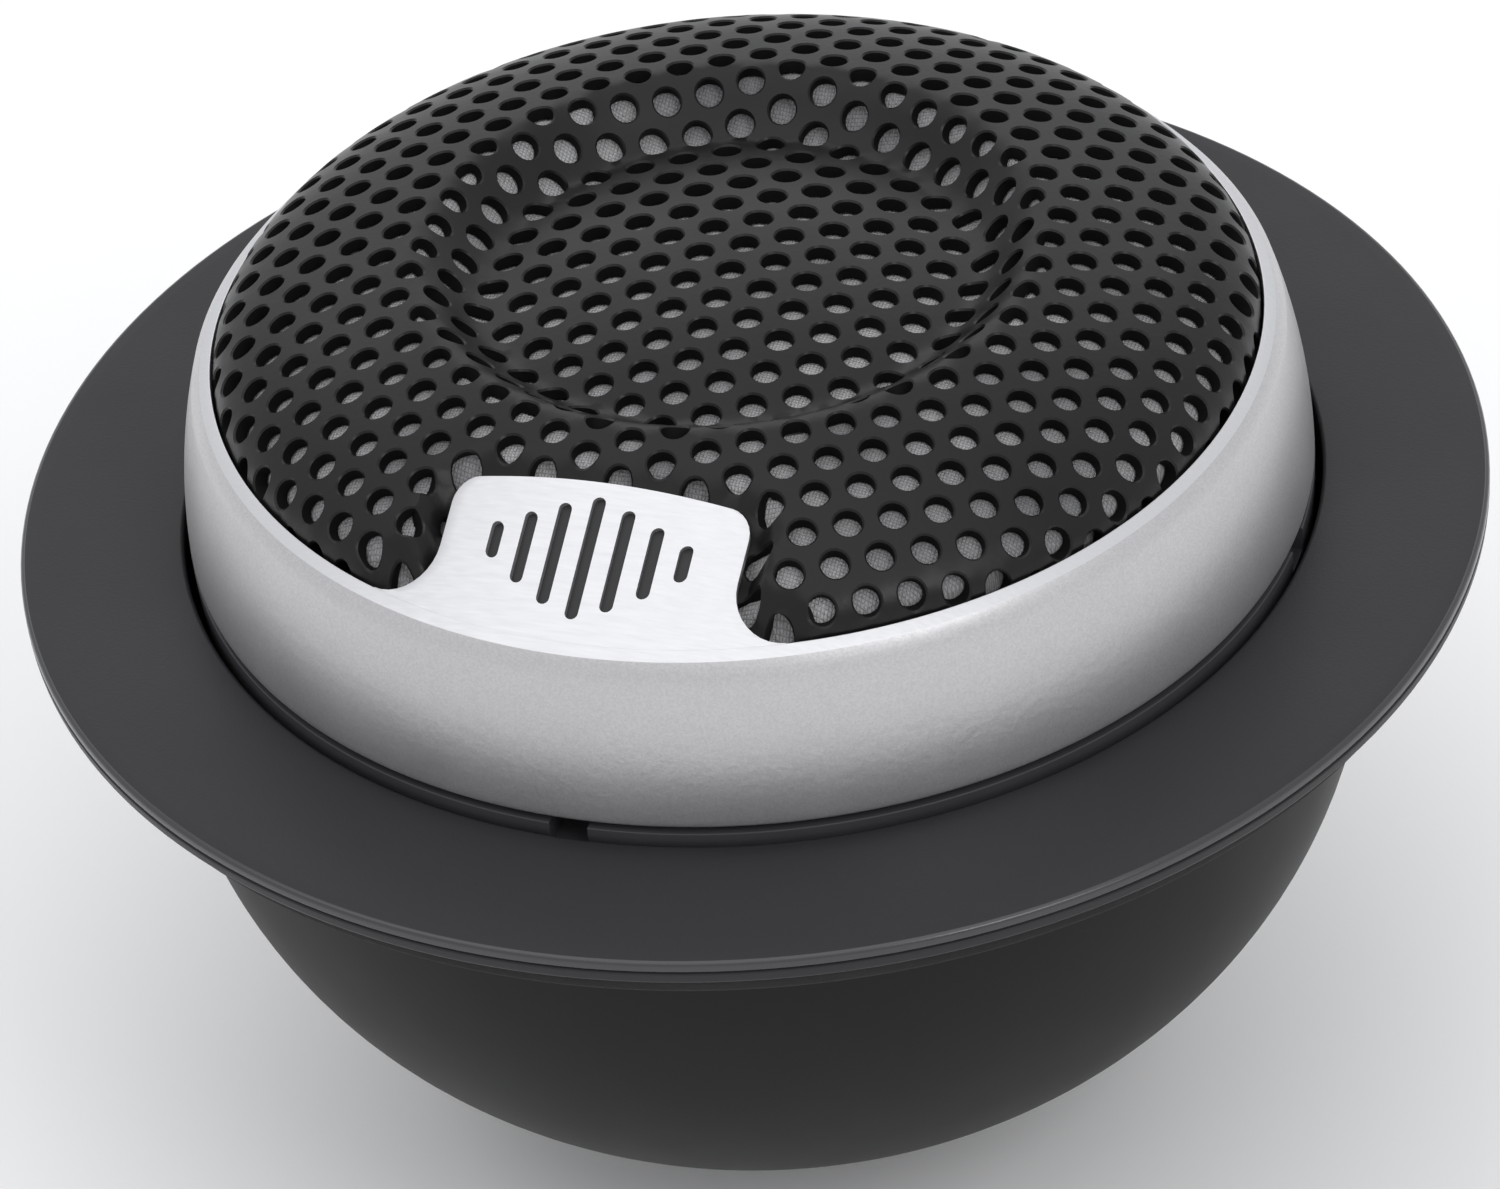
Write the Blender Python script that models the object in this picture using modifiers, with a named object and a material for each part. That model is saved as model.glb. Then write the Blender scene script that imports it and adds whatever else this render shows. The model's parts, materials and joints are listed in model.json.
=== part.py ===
"""Swivelling flush-mount car tweeter: an eyeball capsule in a flanged cup.

The flange plane is the top edge of the trim flange. The capsule is an eyeball
whose centre lies just above that plane, so it tilts and turns inside the cup.
All lengths below are millimetres; SCALE turns them into metres.
"""

import math

import bmesh
import bpy
from mathutils import Matrix, Vector

SCALE = 0.001
GAP = 0.3                 # clearance between pieces that touch

BALL_RISE = 0.6           # ball centre above the flange plane

# Flange and cup
FLANGE_RADIUS = 31.0
FLANGE_EDGE = 1.1
FLANGE_SLOPE_RISE = 0.1
FLANGE_BORE = 24.05
COLLAR_WALL = 0.85
COLLAR_DEPTH = 4.4
CUP_RADIUS = 25.9
CUP_DEPTH = 22.5          # half-height of the superellipse below its centre
CUP_CENTRE = -6.3
CUP_POWER = 2.1
CUP_WALL = 1.6
SNAP_COUNT = 4
SNAP_WIDTH = 3.0
SNAP_TALL = 1.0
GASKET_INNER = 27.0
GASKET_OUTER = 30.2
GASKET_THICK = 0.8

# Eyeball
BALL_RADIUS = 23.75
SHELL_WALL = 1.4
TILT_LIMIT = math.radians(10)
RIM_RISE = 7.5            # bezel rim above the ball centre
RIM_INNER = 21.87
BEZEL_BOTTOM = 0.1
SPIGOT_TOP = 5.0
SPIGOT_OUTER = 21.5
SPIGOT_WALL = 1.1
PRY_SLOTS = 4
PRY_WIDTH = 1.5

# Grille sheet, all heights above the ball centre
GRILLE_CAP = 5.2          # rise of the elliptic outer cap over the rim
GRILLE_DOME = 10.9        # top of the shallow central dome
GRILLE_DOME_DROP = 1.1    # fall of the dome at the valley
VALLEY_RADIUS = 9.9
CROWN_RADIUS = 12.9
GRILLE_SHEET = 0.6
CLOTH_SHEET = 0.25

# Bezel tab at -Y
TAB_TIP_RADIUS = 15.9
TAB_SLOPE = math.radians(30.7)
TAB_TIP_RISE = RIM_RISE + (RIM_INNER - TAB_TIP_RADIUS) * math.tan(TAB_SLOPE)
TAB_TIP_WIDTH = 12.4
TAB_ROOT_WIDTH = 13.6
TAB_CORNER = 1.0
TAB_THICK = 1.2

# Motor and diaphragm, heights above the ball centre
CHASSIS_TOP = 4.4
CHASSIS_THICK = 1.8
CHASSIS_RADIUS = 20.0
CHASSIS_BORE = 13.9
CHASSIS_SCREWS = 3
SCREW_CIRCLE = 18.4
SCREW_RADIUS = 0.8
COIL_RADIUS = 12.75
FORMER_WALL = 0.15
COIL_WALL = 0.3
POT_RADIUS = 15.6
POT_BOTTOM = -5.6
POT_FLOOR = 2.4
MAGNET_RADIUS = 11.4
MAGNET_THICK = 3.0
PLATE_THICK = 2.0
DOME_RISE = 3.6
SURROUND_OUTER = 16.6
TERMINAL_Y = -17.9
TERMINAL_SPREAD = 3.2
TERMINAL_WIDTH = 2.4
TERMINAL_THICK = 0.5

# Swivel clamp
STUD_RADIUS = 4.4
STUD_BORE = 3.1
STUD_HEAD_RADIUS = 7.4
STUD_HEAD_THICK = 0.9
STUD_TOP = -14.4          # above the ball centre
NUT_FLATS = 12.0
NUT_THICK = 2.2
SPRING_THICK = 1.0
SPRING_RADIUS = 7.0
WASHER_THICK = 1.2

FINE = 40                 # segments round a large turned piece
MEDIUM = 30
COARSE = 20


def reset_scene():
    """Remove every object and make the part and cutter collections."""
    for item in list(bpy.data.objects):
        bpy.data.objects.remove(item, do_unlink=True)
    parts = bpy.data.collections.new("car_tweeter")
    cutters = bpy.data.collections.new("cutters")
    for group in (parts, cutters):
        bpy.context.scene.collection.children.link(group)
    return parts, cutters


PARTS, CUTTERS = reset_scene()


def finish(name, colour, roughness, metallic=0.0):
    """A Principled material with one colour."""
    material = bpy.data.materials.new(name)
    material.use_nodes = True
    shader = material.node_tree.nodes["Principled BSDF"]
    shader.inputs["Base Color"].default_value = (*colour, 1.0)
    shader.inputs["Roughness"].default_value = roughness
    shader.inputs["Metallic"].default_value = metallic
    return material


def datum(name, height):
    """An empty on the axis that carries the pieces of one group."""
    empty = bpy.data.objects.new(name, None)
    PARTS.objects.link(empty)
    empty.location = (0.0, 0.0, height * SCALE)
    return empty


def place(name, mesh, material, parent, group=None):
    """Link a mesh as a named object under a datum."""
    item = bpy.data.objects.new(name, mesh)
    (group or PARTS).objects.link(item)
    item.parent = parent
    if material is not None:
        mesh.materials.append(material)
    return item


def turned(name, outline, material, parent, segments=FINE, group=None):
    """Turn a closed outline (radius, height) about Z.

    The outline runs down the outer side and back up the inner side. A point
    on the axis is allowed at the start and the end only.
    """
    mesh = bpy.data.meshes.new(name)
    points = [(r * SCALE, 0.0, z * SCALE) for r, z in outline]
    edges = [(i, i + 1) for i in range(len(points) - 1)]
    if outline[0][0] > 0.0:
        edges.append((len(points) - 1, 0))
    mesh.from_pydata(points, edges, [])
    item = place(name, mesh, material, parent, group)
    turn = item.modifiers.new("Turn", "SCREW")
    turn.steps = turn.render_steps = segments
    turn.use_merge_vertices = True
    turn.merge_threshold = 0.00001
    turn.use_smooth_shade = False
    return item


def block(name, size, centre, material, parent, turn=None, group=None):
    """A box of a given size about a centre, turned by a matrix."""
    work = bmesh.new()
    bmesh.ops.create_cube(work, size=SCALE)
    bmesh.ops.scale(work, vec=size, verts=work.verts)
    bmesh.ops.transform(work, matrix=turn or Matrix.Identity(4), verts=work.verts)
    bmesh.ops.translate(work, vec=Vector(centre) * SCALE, verts=work.verts)
    mesh = bpy.data.meshes.new(name)
    work.to_mesh(mesh)
    work.free()
    return place(name, mesh, material, parent, group)


def cylinder(name, radius, bottom, top, centre, material, parent, segments=COARSE, group=None):
    """An upright cylinder or prism between two heights."""
    work = bmesh.new()
    bmesh.ops.create_cone(
        work, cap_ends=True, segments=segments,
        radius1=radius * SCALE, radius2=radius * SCALE, depth=(top - bottom) * SCALE)
    middle = Vector((centre[0], centre[1], (top + bottom) / 2)) * SCALE
    bmesh.ops.translate(work, vec=middle, verts=work.verts)
    mesh = bpy.data.meshes.new(name)
    work.to_mesh(mesh)
    work.free()
    return place(name, mesh, material, parent, group)


def combine(item, other, operation):
    """Join or cut a piece with another, which becomes a hidden guide."""
    other.hide_render = True
    other.display_type = "WIRE"
    step = item.modifiers.new(operation.title(), "BOOLEAN")
    step.operation = operation
    step.object = other
    return item


def round_the_axis(count, radius, start=-90.0):
    """Evenly spaced (x, y, angle) about Z; the first one is at -Y."""
    for index in range(count):
        angle = math.radians(start + 360.0 * index / count)
        yield radius * math.cos(angle), radius * math.sin(angle), angle


def sphere_arc(radius, low, high, count):
    """Points on a sphere about the ball centre, from the high height down."""
    top = math.asin(high / radius)
    bottom = math.asin(low / radius)
    for index in range(count + 1):
        lift = top + (bottom - top) * index / count
        yield radius * math.cos(lift), radius * math.sin(lift)


def cup_arc(offset, top, bottom_radius, count):
    """Points down the cup's superellipse, moved inward by an offset."""
    across = CUP_RADIUS - offset
    down = CUP_DEPTH - offset
    end = math.acos((bottom_radius / across) ** (CUP_POWER / 2))
    yield across, top
    for index in range(count + 1):
        angle = end * index / count
        radius = across * math.cos(angle) ** (2 / CUP_POWER)
        height = CUP_CENTRE - down * math.sin(angle) ** (2 / CUP_POWER)
        yield radius, height


def grille_rise(radius):
    """Height of the grille's outer surface over the ball centre."""
    cap = RIM_RISE + GRILLE_CAP * math.sqrt(max(0.0, 1 - (radius / RIM_INNER) ** 2))
    dome = GRILLE_DOME - GRILLE_DOME_DROP * (radius / VALLEY_RADIUS) ** 2
    share = (radius - VALLEY_RADIUS) / (CROWN_RADIUS - VALLEY_RADIUS)
    share = min(1.0, max(0.0, share))
    blend = share * share * (3 - 2 * share)
    return dome + (cap - dome) * blend


def formed_sheet(edge, drop, thick, steps):
    """Outline of a sheet pressed to the grille's form, edge to axis and back."""
    dome_steps = 3
    wall_steps = 4
    cap_steps = steps - dome_steps - wall_steps
    radii = [VALLEY_RADIUS * i / dome_steps for i in range(dome_steps)]
    wall = CROWN_RADIUS - VALLEY_RADIUS
    radii += [VALLEY_RADIUS + wall * i / wall_steps for i in range(wall_steps)]
    for index in range(cap_steps + 1):
        turn = math.pi / 2 * index / cap_steps
        radii.append(CROWN_RADIUS + (edge - CROWN_RADIUS) * math.sin(turn))
    outer = [(r, grille_rise(r) - drop) for r in radii]
    inner = [(r, z - thick) for r, z in outer]
    return outer + inner[::-1]


# ---------------------------------------------------------------- materials

SATIN_BLACK = finish("satin_black_plastic", (0.032, 0.033, 0.036), 0.42)
BOWL_BLACK = finish("moulded_black_abs", (0.022, 0.022, 0.024), 0.5)
SILVER = finish("silver_paint", (0.55, 0.55, 0.56), 0.35, 0.7)
BLACK_STEEL = finish("black_coated_steel", (0.018, 0.018, 0.02), 0.38)
CLOTH = finish("grey_cloth", (0.42, 0.42, 0.43), 0.9)
NYLON = finish("white_nylon", (0.7, 0.7, 0.66), 0.5)
FOAM = finish("black_foam", (0.03, 0.03, 0.03), 0.95)
STEEL = finish("zinc_plated_steel", (0.6, 0.6, 0.6), 0.3, 1.0)
MAGNET = finish("nickel_plated_magnet", (0.62, 0.6, 0.56), 0.25, 1.0)
COPPER = finish("copper_wire", (0.72, 0.35, 0.2), 0.35, 1.0)
BRASS = finish("tinned_brass", (0.75, 0.66, 0.42), 0.3, 1.0)
SILK = finish("coated_silk", (0.05, 0.05, 0.055), 0.6)
KAPTON = finish("amber_film", (0.55, 0.26, 0.06), 0.35)
PHENOLIC = finish("phenolic_board", (0.24, 0.12, 0.05), 0.6)
WADDING = finish("white_wadding", (0.75, 0.75, 0.72), 0.95)


# ------------------------------------------------------- flange, cup, gasket

def make_flange_ring(flange):
    """Trim flange, its collar and the snap barbs that hold it in the cup."""
    lip = 0.5
    outline = [
        (FLANGE_BORE, FLANGE_SLOPE_RISE),
        (FLANGE_RADIUS - lip, lip * 0.15),
        (FLANGE_RADIUS, -lip * 0.8),
        (FLANGE_RADIUS, -FLANGE_EDGE + 0.2),
        (FLANGE_RADIUS - 0.2, -FLANGE_EDGE),
        (FLANGE_BORE + COLLAR_WALL, -FLANGE_EDGE),
        (FLANGE_BORE + COLLAR_WALL, -COLLAR_DEPTH),
        (FLANGE_BORE, -COLLAR_DEPTH),
    ]
    ring = turned("flange_ring", outline, SATIN_BLACK, flange)
    radius = FLANGE_BORE + COLLAR_WALL
    for x, y, angle in round_the_axis(SNAP_COUNT, radius, start=-45.0):
        barb = block(
            "barb", (0.7, SNAP_WIDTH, SNAP_TALL), (x, y, -3.2), None, flange,
            Matrix.Rotation(angle, 4, "Z"), CUTTERS)
        combine(ring, barb, "UNION")


def make_rear_cup(flange):
    """Bowl behind the panel, with a rebate for the collar and snap windows."""
    rim = -FLANGE_EDGE - GAP
    rebate = FLANGE_BORE + COLLAR_WALL + GAP
    step = -COLLAR_DEPTH - GAP
    hole = STUD_RADIUS + GAP
    outline = list(cup_arc(0.0, rim, hole, 10))
    outline += list(cup_arc(CUP_WALL, step, hole, 7))[::-1]
    outline += [(rebate, step), (rebate, rim)]
    cup = turned("rear_cup", outline, BOWL_BLACK, flange)
    for x, y, angle in round_the_axis(SNAP_COUNT, CUP_RADIUS - 0.4, start=-45.0):
        window = block(
            "window", (2.0, SNAP_WIDTH + 2 * GAP, SNAP_TALL + 2 * GAP), (x, y, -3.2),
            None, flange, Matrix.Rotation(angle, 4, "Z"), CUTTERS)
        combine(cup, window, "DIFFERENCE")


def make_panel_gasket(flange):
    """Flat foam ring that seals the flange to the panel."""
    top = -FLANGE_EDGE - GAP
    outline = [
        (GASKET_OUTER, top), (GASKET_OUTER, top - GASKET_THICK),
        (GASKET_INNER, top - GASKET_THICK), (GASKET_INNER, top)]
    turned("panel_gasket", outline, FOAM, flange)


# ------------------------------------------------------------- swivel clamp

def make_slip_ring(ball):
    """Nylon seat: the ball tilts on its hollow face and it turns in the cup."""
    seat = BALL_RADIUS + GAP
    inner = list(sphere_arc(seat, -seat * math.cos(math.radians(42)),
                            -seat * math.cos(math.radians(60)), 4))
    outer = [(23.3, inner[0][1]), (23.2, inner[0][1] - 1.0), (20.7, inner[-1][1])]
    turned("slip_ring", outer + inner[::-1], NYLON, ball)


def make_hollow_stud(ball):
    """Stud from the cup's floor into the ball; the cable leaves by its bore."""
    head_top = -CUP_DEPTH + CUP_CENTRE - BALL_RISE - GAP
    head_bottom = head_top - STUD_HEAD_THICK
    chamfer = 0.3
    outline = [
        (STUD_RADIUS, STUD_TOP), (STUD_RADIUS, head_top),
        (STUD_HEAD_RADIUS, head_top), (STUD_HEAD_RADIUS, head_bottom + chamfer),
        (STUD_HEAD_RADIUS - chamfer, head_bottom), (STUD_BORE, head_bottom),
        (STUD_BORE, STUD_TOP)]
    turned("hollow_stud", outline, STEEL, ball, MEDIUM)


def clamp_levels():
    """Heights of the washer crown, spring and nut over the ball centre."""
    washer_inner = BALL_RADIUS - SHELL_WALL - GAP - WASHER_THICK
    spring_seat = -math.sqrt(washer_inner ** 2 - SPRING_RADIUS ** 2)
    spring_bottom = spring_seat + GAP
    spring_top = spring_bottom + SPRING_THICK
    nut_bottom = spring_top + GAP
    return spring_bottom, spring_top, nut_bottom, nut_bottom + NUT_THICK


def make_pressure_washer(ball):
    """Dished washer that slides on the inside of the ball shell."""
    outer = BALL_RADIUS - SHELL_WALL - GAP
    inner = outer - WASHER_THICK
    hole = STUD_RADIUS + GAP
    reach = 13.4
    high = -math.sqrt(outer ** 2 - reach ** 2)
    below = list(sphere_arc(outer, -math.sqrt(outer ** 2 - hole ** 2), high, 5))
    above = list(sphere_arc(inner, -math.sqrt(inner ** 2 - hole ** 2),
                            -math.sqrt(inner ** 2 - (reach - 0.6) ** 2), 5))
    turned("pressure_washer", below + above[::-1], STEEL, ball, MEDIUM)


def make_wave_spring(ball):
    """Three-wave spring washer, drawn as the ring that it fills."""
    bottom, top, _, _ = clamp_levels()
    inner = STUD_RADIUS + GAP
    outline = [(SPRING_RADIUS, top), (SPRING_RADIUS, bottom), (inner, bottom), (inner, top)]
    turned("wave_spring", outline, STEEL, ball, MEDIUM)


def make_lock_nut(ball):
    """Thin hexagon nut on the stud."""
    _, _, bottom, top = clamp_levels()
    corner = NUT_FLATS / 2 / math.cos(math.pi / 6)
    nut = cylinder("lock_nut", corner, bottom, top, (0, 0), STEEL, ball, 6)
    bore = cylinder("nut_bore", STUD_RADIUS + 0.1, bottom - 1, top + 1, (0, 0), None, ball,
                    MEDIUM, CUTTERS)
    combine(nut, bore, "DIFFERENCE")


# ---------------------------------------------------------------- ball shell

def make_ball_shell(ball):
    """Black shell: a spigot for the bezel, a slotted rim and a round floor."""
    top = BEZEL_BOTTOM - GAP
    inner_radius = BALL_RADIUS - SHELL_WALL
    hole = STUD_RADIUS + BALL_RADIUS * math.sin(TILT_LIMIT) + 0.5
    outside = list(sphere_arc(BALL_RADIUS, -math.sqrt(BALL_RADIUS ** 2 - hole ** 2), top, 8))
    inside = list(sphere_arc(inner_radius, -math.sqrt(inner_radius ** 2 - hole ** 2), -9.0, 5))
    spigot_inner = SPIGOT_OUTER - SPIGOT_WALL
    outline = [(SPIGOT_OUTER, SPIGOT_TOP), (SPIGOT_OUTER, top)]
    outline += outside
    outline += inside[::-1]
    outline += [(spigot_inner, -7.0), (spigot_inner, SPIGOT_TOP)]
    shell = turned("ball_shell", outline, BOWL_BLACK, ball)
    for x, y, angle in round_the_axis(PRY_SLOTS, BALL_RADIUS):
        slot = block(
            "pry_slot", (1.6, PRY_WIDTH, 2.4), (x, y, top), None, ball,
            Matrix.Rotation(angle, 4, "Z"), CUTTERS)
        combine(shell, slot, "DIFFERENCE")
    for x, y, angle in round_the_axis(CHASSIS_SCREWS, SCREW_CIRCLE, start=90.0):
        boss = screw_boss(x, y, angle, ball)
        combine(shell, boss, "UNION")
    for x, y, angle in round_the_axis(CHASSIS_SCREWS, SCREW_CIRCLE, start=90.0):
        pilot = cylinder("pilot", SCREW_RADIUS + 0.1, -4.5, 8.0, (x, y), None, ball, 12, CUTTERS)
        combine(shell, pilot, "DIFFERENCE")


def screw_boss(x, y, angle, ball):
    """Block on the shell's wall that takes one chassis screw."""
    top = CHASSIS_TOP - CHASSIS_THICK - GAP
    size = (4.6, 4.0, top + 6.0)
    reach = 1.0 + 0.55 / SCREW_CIRCLE
    return block("boss", size, (x * reach, y * reach, top - size[2] / 2), None, ball,
                 Matrix.Rotation(angle, 4, "Z"), CUTTERS)


# --------------------------------------------------------------------- bezel

def tab_solid(name, grow, above, ball):
    """Tapered slab from the rim to the tab's tip, leaning with the grille.

    A cutter for its room grows on every side and reaches further above.
    """
    root = 1.2            # length past the rim, trimmed to its curve
    run = RIM_INNER + root - TAB_TIP_RADIUS
    rise = run * math.tan(TAB_SLOPE)
    length = math.hypot(run, rise) + 2 * grow
    thick = TAB_THICK + 2 * grow + above
    work = bmesh.new()
    bmesh.ops.create_cube(work, size=SCALE)
    for vertex in work.verts:
        wide = TAB_ROOT_WIDTH if vertex.co.y < 0 else TAB_TIP_WIDTH
        vertex.co.x *= wide + 2 * grow
    bmesh.ops.scale(work, vec=(1.0, length, thick), verts=work.verts)
    upright = [e for e in work.edges
               if abs(e.verts[0].co.z - e.verts[1].co.z) > SCALE and e.verts[0].co.y > 0]
    bmesh.ops.bevel(work, geom=upright, offset=TAB_CORNER * SCALE, segments=3, affect="EDGES",
                    profile=0.5)
    middle = (TAB_TIP_RADIUS + run / 2, TAB_TIP_RISE - rise / 2)
    bmesh.ops.translate(work, vec=(0.0, 0.0, (above - TAB_THICK) / 2 * SCALE), verts=work.verts)
    bmesh.ops.transform(work, matrix=Matrix.Rotation(TAB_SLOPE, 4, "X"), verts=work.verts)
    bmesh.ops.translate(work, vec=Vector((0.0, -middle[0], middle[1])) * SCALE, verts=work.verts)
    mesh = bpy.data.meshes.new(name)
    work.to_mesh(mesh)
    work.free()
    tab = place(name, mesh, None, ball, CUTTERS)
    trim = cylinder(name + "_trim", RIM_INNER + 0.4 + grow, 0.0, 20.0, (0, 0), None, ball,
                    FINE, CUTTERS)
    return combine(tab, trim, "INTERSECT")


def make_bezel_ring(ball):
    """Silver ring with a spherical side, and the tab at -Y."""
    outside = list(sphere_arc(BALL_RADIUS, BEZEL_BOTTOM, RIM_RISE - 0.25, 6))
    outline = [(RIM_INNER, RIM_RISE), (outside[0][0] - 0.25, RIM_RISE)]
    outline += outside
    outline += [(RIM_INNER, BEZEL_BOTTOM)]
    ring = turned("bezel_ring", outline, SILVER, ball)
    tab = tab_solid("tab", 0.0, 0.0, ball)
    combine(ring, tab, "UNION")


# ------------------------------------------------------- grille, cloth, clamp

def make_grille_stack(ball):
    """Formed steel sheet with the cloth behind it, both notched for the tab."""
    tab_room = tab_solid("tab_room", GAP, 3.0, ball)
    edge = RIM_INNER - GAP
    grille = turned("grille", formed_sheet(edge, 0.0, GRILLE_SHEET, 14), BLACK_STEEL, ball)
    combine(grille, tab_room, "DIFFERENCE")
    drop = GRILLE_SHEET + GAP
    cloth = turned("acoustic_cloth", formed_sheet(edge - 0.6, drop, CLOTH_SHEET, 11), CLOTH,
                   ball)
    combine(cloth, tab_room, "DIFFERENCE")
    top = SPIGOT_TOP + GAP
    outline = [(edge, top + 0.5), (edge, top), (edge - 1.6, top), (edge - 1.6, top + 0.5)]
    turned("grille_clamp", outline, BOWL_BLACK, ball, MEDIUM)


# -------------------------------------------------------- chassis and motor

def make_driver_chassis(ball):
    """Faceplate that carries the surround above and the motor below."""
    bottom = CHASSIS_TOP - CHASSIS_THICK
    outline = [
        (CHASSIS_RADIUS, CHASSIS_TOP), (CHASSIS_RADIUS, bottom),
        (CHASSIS_BORE, bottom), (CHASSIS_BORE, CHASSIS_TOP)]
    chassis = turned("driver_chassis", outline, SATIN_BLACK, ball, MEDIUM)
    for x, y, _ in round_the_axis(CHASSIS_SCREWS, SCREW_CIRCLE, start=90.0):
        hole = cylinder("screw_hole", SCREW_RADIUS + 0.2, bottom - 1, CHASSIS_TOP + 1, (x, y),
                        None, ball, 12, CUTTERS)
        combine(chassis, hole, "DIFFERENCE")
    for side in (-1, 1):
        combine(chassis, terminal_slot(side * TERMINAL_SPREAD, ball), "DIFFERENCE")


def make_chassis_screws(ball):
    """Pan-head screws that hold the chassis on the shell's bosses."""
    head = 1.4
    tall = 0.9
    seat = CHASSIS_TOP + GAP
    outline = [
        (0.0, seat + tall), (head * 0.7, seat + tall), (head, seat + tall * 0.5), (head, seat),
        (SCREW_RADIUS, seat), (SCREW_RADIUS, -3.4), (0.0, -4.0)]
    for index, (x, y, _) in enumerate(round_the_axis(CHASSIS_SCREWS, SCREW_CIRCLE, start=90.0)):
        screw = turned(f"chassis_screw_{index + 1}", outline, STEEL, ball, 12)
        screw.location = (x * SCALE, y * SCALE, 0.0)


def make_motor(ball):
    """Pot, disc magnet and top plate with the coil's ring gap between them."""
    pot_rim = CHASSIS_TOP - CHASSIS_THICK - GAP
    wall_inner = COIL_RADIUS + FORMER_WALL + COIL_WALL + 0.5
    floor = POT_BOTTOM + POT_FLOOR
    pot = [
        (POT_RADIUS, pot_rim), (POT_RADIUS, POT_BOTTOM), (0.0, POT_BOTTOM)]
    pot = [(0.0, floor), (wall_inner, floor), (wall_inner, pot_rim)] + pot
    turned("pot_yoke", pot, STEEL, ball, MEDIUM)
    low = floor + 0.1
    magnet = [(0.0, low + MAGNET_THICK), (MAGNET_RADIUS, low + MAGNET_THICK),
              (MAGNET_RADIUS, low), (0.0, low)]
    turned("magnet", magnet, MAGNET, ball, MEDIUM)
    low += MAGNET_THICK + 0.1
    plate_radius = COIL_RADIUS - 0.35
    plate = [(0.0, low + PLATE_THICK), (plate_radius, low + PLATE_THICK),
             (plate_radius, low), (0.0, low)]
    turned("top_plate", plate, STEEL, ball, MEDIUM)
    low += PLATE_THICK + 0.1
    pad = [(0.0, low + 1.4), (8.5, low + 1.2), (9.0, low), (0.0, low)]
    turned("dome_damping_pad", pad, WADDING, ball, MEDIUM)


def make_diaphragm(ball):
    """Soft dome, its former and the coil on it."""
    seat = CHASSIS_TOP + 0.4
    thick = 0.3
    edge = COIL_RADIUS + FORMER_WALL
    steps = 7
    upper = []
    for index in range(steps + 1):
        angle = math.pi / 2 * index / steps
        upper.append((edge * math.sin(angle), seat + thick + DOME_RISE * math.cos(angle)))
    lower = [(r * (1 - thick / edge), z - thick) for r, z in upper]
    turned("dome", upper + lower[::-1], SILK, ball, MEDIUM)
    former_top = seat - 0.1
    former_bottom = POT_BOTTOM + POT_FLOOR + 1.2
    former = [(edge, former_top), (edge, former_bottom),
              (COIL_RADIUS, former_bottom), (COIL_RADIUS, former_top)]
    turned("voice_coil_former", former, KAPTON, ball, MEDIUM)
    coil_inner = edge + 0.05
    coil_outer = coil_inner + COIL_WALL - 0.05
    coil = [(coil_outer, 2.0), (coil_outer, former_bottom + 0.2),
            (coil_inner, former_bottom + 0.2), (coil_inner, 2.0)]
    turned("voice_coil", coil, COPPER, ball, MEDIUM)


def make_surround(ball):
    """Half-roll between the dome's edge and the chassis."""
    inner = COIL_RADIUS + FORMER_WALL + 0.3
    seat = CHASSIS_TOP + 0.4
    roll = 1.1
    middle = inner + 0.3 + roll
    thick = 0.3
    upper = [(inner, seat + thick)]
    for index in range(7):
        angle = math.pi * (1 - index / 6)
        upper.append((middle + roll * math.cos(angle), seat + thick + roll * math.sin(angle)))
    upper.append((SURROUND_OUTER, seat + thick))
    lower = [(inner, seat)]
    for index in range(7):
        angle = math.pi * (1 - index / 6)
        small = roll - thick
        lower.append((middle + small * math.cos(angle), seat + roll * math.sin(angle)))
    lower.append((SURROUND_OUTER, seat))
    turned("surround", upper + lower[::-1], SILK, ball, MEDIUM)


def terminal_slot(x, ball):
    """Slot for one terminal through the chassis and the board."""
    size = (TERMINAL_WIDTH + 2 * GAP, TERMINAL_THICK + 2 * GAP, 12.0)
    return block("terminal_slot", size, (x, TERMINAL_Y, 2.0), None, ball, None, CUTTERS)


def make_terminals(ball):
    """Board on the chassis' underside with two tabs and the tinsel leads."""
    top = CHASSIS_TOP - CHASSIS_THICK - GAP
    board_thick = 1.0
    board = block("terminal_board", (10.0, 2.8, board_thick),
                  (0.0, TERMINAL_Y, top - board_thick / 2), PHENOLIC, ball)
    tab_top = CHASSIS_TOP - 0.2
    tab_bottom = -4.0
    middle = (tab_top + tab_bottom) / 2
    for index, side in enumerate((-1, 1)):
        x = side * TERMINAL_SPREAD
        block(f"terminal_{index + 1}", (TERMINAL_WIDTH, TERMINAL_THICK, tab_top - tab_bottom),
              (x, TERMINAL_Y, middle), BRASS, ball)
        slot = terminal_slot(x, ball)
        combine(board, slot, "DIFFERENCE")
        lead_inner = -math.sqrt((COIL_RADIUS + FORMER_WALL + 0.4) ** 2 - x ** 2)
        lead_outer = TERMINAL_Y - 0.6
        block(f"tinsel_lead_{index + 1}", (0.4, lead_inner - lead_outer, 0.2),
              (x, (lead_inner + lead_outer) / 2, CHASSIS_TOP + 0.2), COPPER, ball)


def make_rear_absorber(ball):
    """Ring of wadding between the pot and the shell's floor."""
    outline = [(17.8, -6.6), (16.6, -10.2), (12.6, -10.2), (12.6, -6.6)]
    turned("rear_absorber", outline, WADDING, ball, MEDIUM)


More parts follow.
